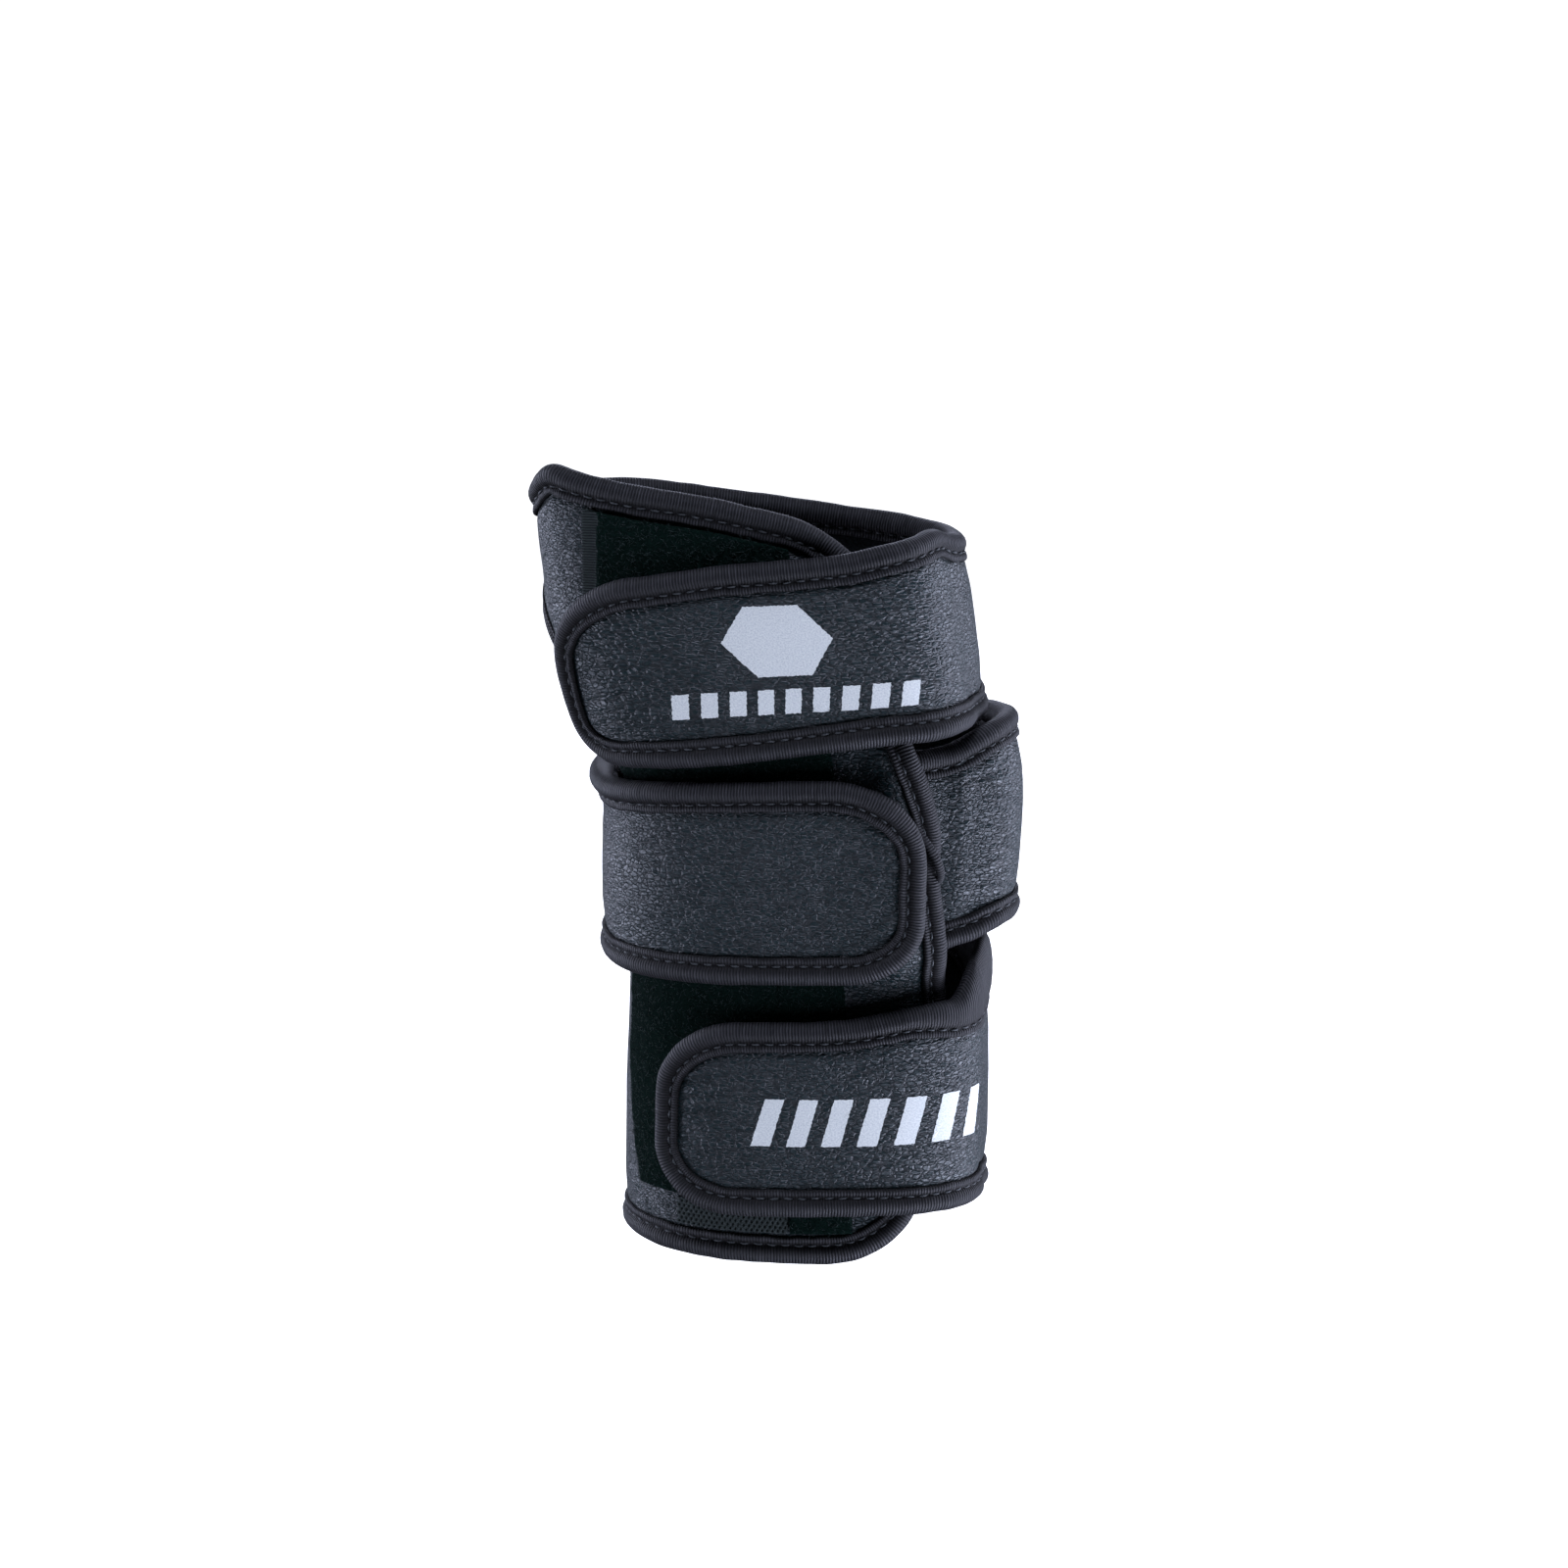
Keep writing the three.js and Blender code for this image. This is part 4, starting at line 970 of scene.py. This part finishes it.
def strap_leather(name, strap, root, end, radii, straights, slant=0, cuff=None, **leather):
    """A strap from its root to its free end, two angles.

    radii round its end's corners at its foot and head, straights is how many steps lie between
    them, slant leans the end, and cuff narrows the leather at its head.
    """
    stations, width, base = strap

    def foot_line(angle):
        return strap_height(strap, 1, angle)

    def head_line(angle):
        return strap_height(strap, 2, angle) - (cuff(angle) if cuff else 0)

    def lift(angle, height):
        low, high = curve(stations, 1, angle), curve(stations, 2, angle)
        v = ((height - base) / width - low) / (high - low)
        return (soft_curve(stations, 3, angle) * (1 - v) + soft_curve(stations, 4, angle) * v
                + soft_curve(stations, 5, angle) * 4 * v * (1 - v))

    middle = (foot_line(end) + head_line(end)) / 2
    path, foot, finish, head = rounded_edges(
        foot_line, head_line, lambda height: end + slant * (height - middle) / width, root,
        *radii, straights)
    grid = fill_grid(foot, head, straight(foot[0], head[0], len(finish)), finish)
    return Leather(name, path, grid, lift, **leather)


def hand_strap():
    return strap_leather(
        "hand_strap", HAND, SEAM_TURN - SEAM_GAP / arc_rate(SEAM_ANGLE, HAND_REACH),
        HAND_STATIONS[0][0], radii=(11, 14), straights=44, slant=14,
        puff=0.45, seams=(SEAM_TURN,), seed=11,
        creases=[
            (-56, 44.4, -38, 46.3, 0.15, 0.75, 0.42),
            (-49, 57.0, -32, 58.3, 0.1, 0.75, 0.34),
            (-52, 50.2, -33, 51.4, 0.1, 0.75, 0.24),
            (-45, 64.8, -30, 63.8, -0.2, 0.75, 0.24),
            (120, 44, 168, 62, 2.5, 1.0, 0.45),
            (128, 52, 172, 72, 2.0, 0.9, 0.35),
        ],
        ripples=[
            (-30, 18, 55, 12, 4, 1.15, 0.085),
            (5, 40, 57, 20, 3, 1.3, 0.035),
            (165, 30, 62, 14, 20, 1.6, 0.1),
        ])


def wrist_strap():
    return strap_leather(
        "wrist_strap", WRIST, ROOT_LAP_ANGLE, WRIST_STATIONS[-1][0], radii=(13, 18), straights=40,
        puff=0.5, seed=23, fill=(54, 4.5, 0.9),
        creases=[
            (376, 18.5, 393, 15.2, 0.2, 0.8, 0.3),
            (373, 15.6, 393, 12.2, 0.2, 0.8, 0.36),
            (377, 9.0, 393, 7.6, 0.1, 0.8, 0.34),
            (371, -9.5, 391, 1.5, 0.5, 0.85, 0.42),
            (378, -9.0, 392, -3.5, 0.3, 0.8, 0.3),
            (58, 24.5, 72, 26.5, 0.3, 0.5, 0.22),
            (60, 20.5, 74, 22.0, 0.3, 0.5, 0.18),
            (61, 6.5, 72, 10.5, 0.3, 0.5, 0.16),
            (60, 1.5, 70, 6.0, 0.3, 0.5, 0.16),
            (165, -6, 200, 18, 2.0, 1.1, 0.35),
            (182, -8, 215, 15, 2.0, 1.0, 0.3),
        ],
        ripples=[
            (385, 9, 13, 8, -10, 0.95, 0.12),
            (64, 13, 25.5, 4.5, 12, 0.95, 0.05),
            (62, 11, -1, 5, 22, 0.95, 0.045),
            (372, 20, 0, 16, 20, 1.2, 0.04),
        ])


def cuff_reach(angle):
    """How much wider the ribbon is where the forearm strap passes the panel's edge."""
    return curve(CUFF, 1, angle)


def upper_cuff_reach(angle, height):
    """The same, for places on either edge of the strap."""
    return np.where(height > FOREARM_BASE - 20, cuff_reach(angle), 0)


def forearm_strap():
    return strap_leather(
        "forearm_strap", FOREARM, SEAM_TURN - SEAM_GAP / arc_rate(SEAM_ANGLE, -FOREARM_REACH),
        FOREARM_STATIONS[0][0], radii=(15, 15), straights=40, cuff=cuff_reach,
        puff=0.45, seams=(SEAM_TURN,), seed=37,
        creases=[
            (-38, -37.4, -20, -35.4, 0.4, 0.8, 0.42),
            (-38, -40.4, -24, -39.6, 0.2, 0.75, 0.3),
            (-37, -43.8, -23, -42.6, 0.2, 0.8, 0.36),
            (140, -55, 175, -36, 2.0, 1.1, 0.35),
            (152, -60, 190, -45, 1.5, 1.0, 0.3),
        ],
        ripples=[
            (-27, 10, -42, 9, 2, 1.1, 0.1),
            (30, 30, -52, 14, -8, 1.5, 0.05),
            (165, 30, -46, 14, 25, 1.6, 0.1),
        ])


def panel_lift(angle, height):
    """The panel's inner face: raised over the wrist strap's root, and bulged at the thumb."""
    root_foot, root_head = (strap_height(WRIST, column, TUCK_ANGLE) for column in (1, 2))
    over = (smooth(angle, ROOT_LAP_ANGLE - 13, ROOT_LAP_ANGLE)
            * smooth(height, root_foot - 8, root_foot + BINDING_REACH)
            * (1 - smooth(height, root_head - BINDING_REACH, root_head + 8)))
    round_ = (angle - PANEL_BULGE["at"]) / PANEL_BULGE["spread"]
    up = (height / HAND_REACH - PANEL_BULGE["rise"]) / PANEL_BULGE["run"]
    bulge = PANEL_BULGE["lift"] * LEATHER_WALL * np.exp(-(round_**2) - up**2)
    return SKIN + (RAISED - SKIN) * over + bulge


def panel_arms():
    """Heights of the panel's two arms at the seam: the lower one's edges, then the upper one's."""
    return [float(strap_height(strap, column, SEAM_TURN)) for strap in (FOREARM, HAND)
            for column in (1, 2)]


def thumb_arch(low, high):
    """The leather's edge round the thumb, from the lower arm to the upper one."""
    angle, rise = smooth_rows(THUMB_ARCH, ARCH_ROWS + 1)
    arch = move_edge(np.stack([angle, low + (high - low) * rise], -1), -BINDING_REACH)
    arch[0, 0] = arch[-1, 0] = SEAM_ANGLE
    return arch


def back_panel(arch, arm_foot, arm_head):
    """The panel from its seam to its right edge. Its foot and head end at the arms' heights."""
    def edge(table, reach, arm):
        def line(angle):
            blend = smooth(angle, SEAM_ANGLE, SEAM_ANGLE + 30)
            return arm * (1 - blend) + reach * curve(table, 1, angle) * blend
        return line

    low, high = -FOREARM_REACH, HAND_REACH * PANEL_HEAD[-1][1]
    rows = LOW_ROWS + ARCH_ROWS + HIGH_ROWS
    path, foot, finish, head = rounded_edges(
        edge(PANEL_FOOT, FOREARM_REACH, arm_foot), edge(PANEL_HEAD, HAND_REACH, arm_head),
        lambda height: curve(PANEL_RIGHT, 1, (height - low) / (high - low)),
        SEAM_ANGLE, 20, 18, rows - ARC_STEPS)
    start = np.concatenate([straight(foot[0], arch[0], LOW_ROWS + 1)[:-1], arch,
                            straight(arch[-1], head[0], HIGH_ROWS + 1)[1:]])
    return Leather(
        "back_panel", path, fill_grid(foot, head, start, finish), panel_lift,
        puff=0.4, seams=(SEAM_ANGLE,), seed=51,
        creases=[
            (-58, -65.0, -57, -71.0, 0.1, 0.3, 0.4),
            (36, 28, 24, 20, 0.4, 0.5, 0.2),
            (34, 31, 20, 27, 0.3, 0.45, 0.16),
            (-80, 62, -66, 50, 0.8, 0.9, 0.25),
        ],
        ripples=[
            (28, 14, 27, 7, 12, 1.0, 0.1),
            (-80, 16, 55, 22, 60, 1.7, 0.08),
            (-75, 16, -20, 22, 70, 1.9, 0.08),
        ])


# The ribbons

def crossing_pinch(angle, height):
    """The bead narrows where the ribbon's two ends cross on the right edge."""
    return np.where(angle > 30, PINCH * np.exp(-(((height - PINCH_HEIGHT) / PINCH_SPREAD) ** 2)), 0)


def seam_way(leather, angle, height):
    return leather.at(angle, height + 1, 0.5) - leather.at(angle, height - 1, 0.5)


def bind_strap(leather, seed, widen=None):
    seam = seam_way(leather, *leather.path[0])
    binding(leather.name + "_binding", leather, leather.path, (3, UP), seed, seam, widen)


def bind_wrist(wrist):
    """The wrist strap's ribbon ends under the panel, so its last stretch has none."""
    angle = wrist.path[:, 0]
    on_foot = np.arange(len(angle)) < len(angle) // 2
    path = wrist.path[angle > np.where(on_foot, ROOT_RIBBON_FOOT, ROOT_RIBBON_HEAD)]
    binding("wrist_strap_binding", wrist, path, (3, UP), 7)


def bind_panel(panel, arch):
    seam = seam_way(panel, SEAM_ANGLE, 0)
    binding("back_panel_binding", panel, panel.path, (3, UP), 9, seam, pinch=crossing_pinch)
    towards = panel.at(-80, 20, 0.5) - panel.at(-92, 20, 0.5)
    binding("thumb_arch_binding", panel, arch, (len(arch) // 2, towards), 13, seam)


def ribbon_end():
    """The end of the panel's ribbon, which crosses its bead."""
    rings, sides = 60, 16
    angle, height, offset = smooth_rows(CROSSING, rings)
    centre = place(angle, height, offset)
    share = np.linspace(0, 1, rings)[:, None]
    taper = 0.72 + 0.28 * smooth(share, 0, 3 / 7)
    points = round_tube(centre, place(angle, height, 0), END_HALF_WIDTH * taper, END_HALF_DEPTH * taper,
                        sides)
    faces = np.concatenate([tube_faces(rings, sides), cap_faces(sides, 0, (rings - 1) * sides)])
    uv = np.stack(np.broadcast_arrays(length_along(centre)[:, None], np.zeros(sides)), -1)
    new_object("back_panel_ribbon_end", points, facing_out(points, faces), ["ribbon"], uv,
               uv_name="along")


# Loop tape

def panel_foot_at(angle):
    return FOREARM_REACH * curve(PANEL_FOOT, 1, angle) + BINDING_REACH + BINDING_FLANGE + TAPE_EDGE_GAP


def panel_head_at(angle):
    return HAND_REACH * curve(PANEL_HEAD, 1, angle) - BINDING_REACH - BINDING_FLANGE - TAPE_EDGE_GAP


def panel_top(angle, height):
    """The offset of the panel's outer face, over which the tape lies."""
    return panel_lift(angle, height) + LEATHER_WALL + CLEARANCE


def over_panel(angle, height, rise):
    """Points over the panel's outer face."""
    return place(angle, height, panel_top(angle, height) + rise)


def tape_side(table, low, high, count):
    rise = np.linspace(0, 1, count)
    return np.stack([curve(table, 1, rise), low + (high - low) * rise], -1)


def tape_grid(columns, rows):
    """The tape's grid of (angle, height), with a step in its foot over the webbing tab."""
    left, right = TAPE_LEFT[0][1], TAPE_RIGHT[0][1]
    gap = SEAM_GAP / (right - left)
    notch = (TAB_RIGHT - left) / (right - left)
    share = np.linspace(0, 1, columns)
    share[np.argmin(np.abs(share - notch))] = notch + gap
    angle = left + (right - left) * share
    step = np.where(share > notch + 1.5 * gap, 0, TAPE_FOOT_DROP)
    foot = np.stack([angle, panel_foot_at(angle) + step], -1)
    angle = TAPE_LEFT[-1][1] * (1 - share) + TAPE_RIGHT[-1][1] * share
    head = np.stack([angle, panel_head_at(angle)], -1)
    start = tape_side(TAPE_LEFT, foot[0, 1], head[0, 1], rows)
    finish = tape_side(TAPE_RIGHT, foot[-1, 1], head[-1, 1], rows)
    return fill_grid(foot, head, start, finish, 0)


def tape_fluff(grid):
    """Where the tape has loops, from 0 on its woven left edge to 1, and how far in that is."""
    angle, height = grid[..., 0], grid[..., 1]
    from_left = (angle - grid[:1, :, 0]) * arc_rate(angle, height)
    from_left += 0.25 * noise(height / 1.3, height * 0, 2)
    selvedge = SELVEDGE_WIDTH + SELVEDGE_WIDENING * smooth(height, 30, 48)
    return smooth(from_left, selvedge - 0.2, selvedge + 0.5), from_left


def tape_piece(grid):
    """The loop tape: a matted field of loops with a woven left edge that waves a little."""
    angle, height = grid[..., 0], grid[..., 1]
    fluff, from_left = tape_fluff(grid)
    x, y = angle * RATE, height
    loops = LOOP_RISE + 0.16 * noise(x / 0.9, y / 0.9, 61) + 0.12 * noise(x / 2.6, y / 2.6, 62)
    wavy = 0.25 * noise(height / 7, height * 0 + 3, 8) * np.exp(-from_left / 4)
    woven = (fluff[:-1, :-1] + fluff[1:, 1:]) / 2 <= 0.5
    return slab("loop_tape_pile", over_panel(angle, height, wavy),
                over_panel(angle, height, TAPE_BACKING + fluff * loops + wavy), np.stack([x, y], -1),
                ["pile", "lining", "selvedge"], "loop_tape", 2 * woven.ravel())


def under_strap(angle, height):
    """Whether a place on the back lies well under a strap."""
    hidden = np.zeros(np.shape(angle), bool)
    for strap, end, turn in ((HAND, -58, 0), (FOREARM, -40, 0), (WRIST, -180, 360)):
        low = strap_height(strap, 1, angle + turn) + 3
        high = strap_height(strap, 2, angle + turn) - 3
        hidden |= (height > low) & (height < high) & (angle > end)
    return hidden


def fibre_roots(grid, count, rng):
    """Random places (angle, height) on the tape's loops where they show."""
    columns, rows = grid.shape[:2]
    i = rng.uniform(0, columns - 1.001, count * 4)
    j = rng.uniform(0, rows - 1.001, count * 4)
    i0, j0 = i.astype(int), j.astype(int)
    fi, fj = (i - i0)[:, None], (j - j0)[:, None]
    spot = ((grid[i0, j0] * (1 - fi) + grid[i0 + 1, j0] * fi) * (1 - fj)
            + (grid[i0, j0 + 1] * (1 - fi) + grid[i0 + 1, j0 + 1] * fi) * fj)
    keep = ~under_strap(spot[:, 0], spot[:, 1]) & (tape_fluff(grid)[0][i0, j0] > 0.6)
    return spot[keep][:count]


def fibres(grid, count, seed=71):
    """Short curly fibres over the tape where it shows."""
    rng = np.random.default_rng(seed)
    spot = fibre_roots(grid, count, rng)
    n = len(spot)
    girth = FIBRE_RADIUS * np.array([1, 1, 0.9, 0.75, 0.4])
    sides, steps = 3, len(girth)
    heading = rng.uniform(0, 2 * math.pi, (n, 1))
    bend = rng.uniform(-2.2, 2.2, (n, 1))
    step = rng.uniform(0.7, 1.9, (n, 1)) / steps
    rise = rng.uniform(0.15, 0.7, (n, 1))
    along = np.linspace(0, 1, steps)
    way = heading + bend * along
    angle = spot[:, :1] + np.cumsum(np.cos(way) * step, 1) / RATE
    height = spot[:, 1:] + np.cumsum(np.sin(way) * step, 1)
    arch = rise * 2.4 * along * (1 - 0.75 * along)
    girth = girth[:, None] * rng.uniform(0.7, 1.3, (n, 1, 1))
    points = round_tube(over_panel(angle, height, FIBRE_BASE + arch), over_panel(angle, height, 0),
                        girth, girth, sides)
    uv = np.stack([angle * RATE, height], -1)[:, :, None]
    return new_object("loop_tape_fibres", points, tube_faces(steps, sides, np.arange(n) * steps * sides),
                      ["fibre"], np.broadcast_to(uv, (n, steps, sides, 2)))


# Webbing tab

def tab_piece():
    """The knit, with rows of holes that are each shifted by half a mesh."""
    columns, rows = 170, 36
    rise = np.linspace(0, TAB_HEIGHT, rows)[None]
    angle = np.linspace(TAB_LEFT, TAB_RIGHT, columns)[:, None]
    height = panel_foot_at(angle) + rise
    angle = np.broadcast_to(angle, height.shape)
    x = angle * arc_rate(0, -70)
    row = rise / MESH_ROW
    hole_x = (x / MESH_COLUMN + 0.5 * (np.floor(row) % 2)) % 1 - 0.5
    hole_y = row % 1 - 0.5
    hole = np.exp(-((hole_x / HOLE_HALF_WIDTH) ** 2 + (hole_y / HOLE_HALF_HEIGHT) ** 2) ** 1.5)
    cord = 0.5 + 0.5 * np.cos(2 * math.pi * hole_y)
    rough = 0.04 * noise(x / 0.4, rise / 0.4 + 0 * x, 91)
    thick = KNIT_WALL + KNIT_CORD * cord - KNIT_HOLE * hole + rough
    return slab("webbing_tab_knit", over_panel(angle, height, 0), over_panel(angle, height, thick),
                np.stack([x, height], -1), ["webbing", "lining"], "webbing_tab")


# Printed marks

def outline(shape, seed):
    """A shape's outline in short steps, with the slight waver of a print."""
    ring = []
    for a, b in zip(shape, np.roll(shape, -1, 0)):
        pieces = max(int(np.linalg.norm(b - a) / 0.2), 1)
        ring.append(straight(a, b, pieces + 1)[:-1])
    ring = np.concatenate(ring)
    x, y = ring.T * 3.1
    return ring + 0.11 * np.stack([noise(x, y, seed), noise(x, y + 40, seed)], -1)


def printed(name, leather, shapes, origin, tilt, seed):
    """Flat marks of ink on a leather. A shape: outline corners in millimetres from the origin."""
    points, faces, uv = [], [], []
    rate = float(arc_rate(*origin))
    c, s = math.cos(math.radians(tilt)), math.sin(math.radians(tilt))
    for shape in map(np.array, shapes):
        edge = outline(shape, seed)
        middle = shape.mean(0)
        layers = max(int(np.abs(shape - middle).max() / 0.5), 3)
        shares = np.linspace(1, 0.004, layers)
        rows = np.concatenate([middle + (edge - middle) * share for share in shares])
        across, up = rows[:, 0] * c - rows[:, 1] * s, rows[:, 0] * s + rows[:, 1] * c
        faces.append(tube_faces(layers, len(edge), sum(map(len, points))))
        points.append(leather.outer(origin[0] + across / rate, origin[1] + up, INK_LIFT))
        uv.append(rows + PRINT_UV_SHIFT)
    new_object(name, np.concatenate(points), np.concatenate(faces), ["ink"], np.concatenate(uv))


def dash_row(count, pitch, width, tall, slant):
    """Slanted dashes in a row, each by its four corners."""
    shapes = []
    for k in range(count):
        x = (k - (count - 1) / 2) * pitch
        shapes.append([(x + side * width / 2 + end * slant / 2, end * tall / 2)
                       for side, end in ((-1, -1), (1, -1), (1, 1), (-1, 1))])
    return shapes


def hexagon(radius, wide, rise):
    turns = [math.radians(60 * k) for k in range(6)]
    return [(radius * wide * math.cos(turn), rise + radius * math.sin(turn)) for turn in turns]


# Stage, light and camera

def stage_floor():
    """A white floor that the camera alone sees."""
    mesh = bpy.data.meshes.new("floor")
    size, level = 12.0, -0.135
    mesh.from_pydata([(-size, -size, level), (size, -size, level), (size, size, level),
                      (-size, size, level)], [], [(0, 1, 2, 3)])
    floor = linked("floor", mesh)
    shade = Shade("floor", 0.9, Base_Color=(0.82, 0.82, 0.82, 1), Emission_Color=(1, 1, 1, 1),
                  Emission_Strength=1.1)
    mesh.materials.append(shade.material)
    floor.visible_diffuse = False
    floor.visible_glossy = False
    floor.visible_shadow = False


# Lamps: degrees from the front towards the little finger, degrees up, watts
LAMPS = [
    ("front_left_low", -55, -25, 1.5),
    ("left", -90, -15, 9),
    ("behind_left", -125, 5, 8),
    ("front_low", 0, -35, 2.5),
    ("top", 0, 75, 11),
    ("front_right_low", 50, -28, 7),
    ("right", 90, -35, 18),
    ("behind_right", 120, 5, 9),
    ("behind", 180, 25, 6),
]
LAMP_AIM = Vector((0, 0, 0.01))
LAMP_REACH = 1.1
LAMP_SIZE = 0.6
LAMP_COLOUR = (0.74, 0.78, 1)
CAMERA_AIM = Vector((-0.0035, 0, 0.021))
CAMERA_REACH = 1.1
CAMERA_RISE = 11.5


def direction(turn, rise):
    """The way from the glove, in degrees from the front and up."""
    turn, rise = math.radians(turn), math.radians(rise)
    return Vector((math.sin(turn) * math.cos(rise), -math.cos(turn) * math.cos(rise), math.sin(rise)))


def aimed(name, data, aim, away):
    """A lamp or camera that looks at its aim from some way off."""
    made = linked(name, data)
    made.location = aim + away
    made.rotation_euler = (-away).to_track_quat("-Z", "Y").to_euler()
    return made


def area_light(name, turn, rise, power):
    data = bpy.data.lights.new(name, "AREA")
    data.shape = "SQUARE"
    data.size = LAMP_SIZE
    data.energy = power
    data.color = LAMP_COLOUR
    aimed(name, data, LAMP_AIM, LAMP_REACH * direction(turn, rise)).visible_camera = False


def studio():
    """A white background with a faint glow of its own, and soft lamps all round the glove."""
    world = bpy.data.worlds.new("studio")
    bpy.context.scene.world = world
    world.use_nodes = True
    tree = world.node_tree
    room = tree.nodes["Background"]
    room.inputs["Color"].default_value = (0.85, 0.93, 1.0, 1)
    room.inputs["Strength"].default_value = 0.025
    seen = tree.nodes.new("ShaderNodeBackground")
    seen.inputs["Color"].default_value = (1, 1, 1, 1)
    mix = tree.nodes.new("ShaderNodeMixShader")
    path = tree.nodes.new("ShaderNodeLightPath")
    tree.links.new(path.outputs["Is Camera Ray"], mix.inputs[0])
    tree.links.new(room.outputs[0], mix.inputs[1])
    tree.links.new(seen.outputs[0], mix.inputs[2])
    tree.links.new(mix.outputs[0], tree.nodes["World Output"].inputs[0])
    for lamp in LAMPS:
        area_light(*lamp)


def camera():
    data = bpy.data.cameras.new("camera")
    data.lens = 120
    data.sensor_width = 36
    data.clip_start = 0.05
    bpy.context.scene.camera = aimed("camera", data, CAMERA_AIM,
                                     CAMERA_REACH * direction(0, CAMERA_RISE))


def build_glove():
    arm_foot, arch_foot, arch_head, arm_head = panel_arms()
    arch = thumb_arch(arch_foot, arch_head)
    panel = back_panel(arch, arm_foot, arm_head)
    hand, wrist, forearm = hand_strap(), wrist_strap(), forearm_strap()
    for leather in (panel, hand, wrist, forearm):
        leather_piece(leather)
    bind_strap(hand, 3)
    bind_strap(forearm, 5, upper_cuff_reach)
    bind_wrist(wrist)
    bind_panel(panel, arch)
    ribbon_end()
    grid = tape_grid(84, 210)
    tape = tape_piece(grid)
    fuzz = fibres(grid, FIBRE_COUNT)
    tab = tab_piece()
    printed("hand_strap_print", hand, [hexagon(8.2, 1.25, 12.2)] + dash_row(9, 5.3, 3.1, 5.0, 1.6),
            (4, 44.0), 2.0, 81)
    printed("forearm_strap_print", forearm, dash_row(7, 6.6, 3.6, 10.0, 2.6), (21, -44.8), -0.5, 83)


build_glove()
stage_floor()
studio()
camera()
bpy.context.scene.view_settings.view_transform = "Standard"
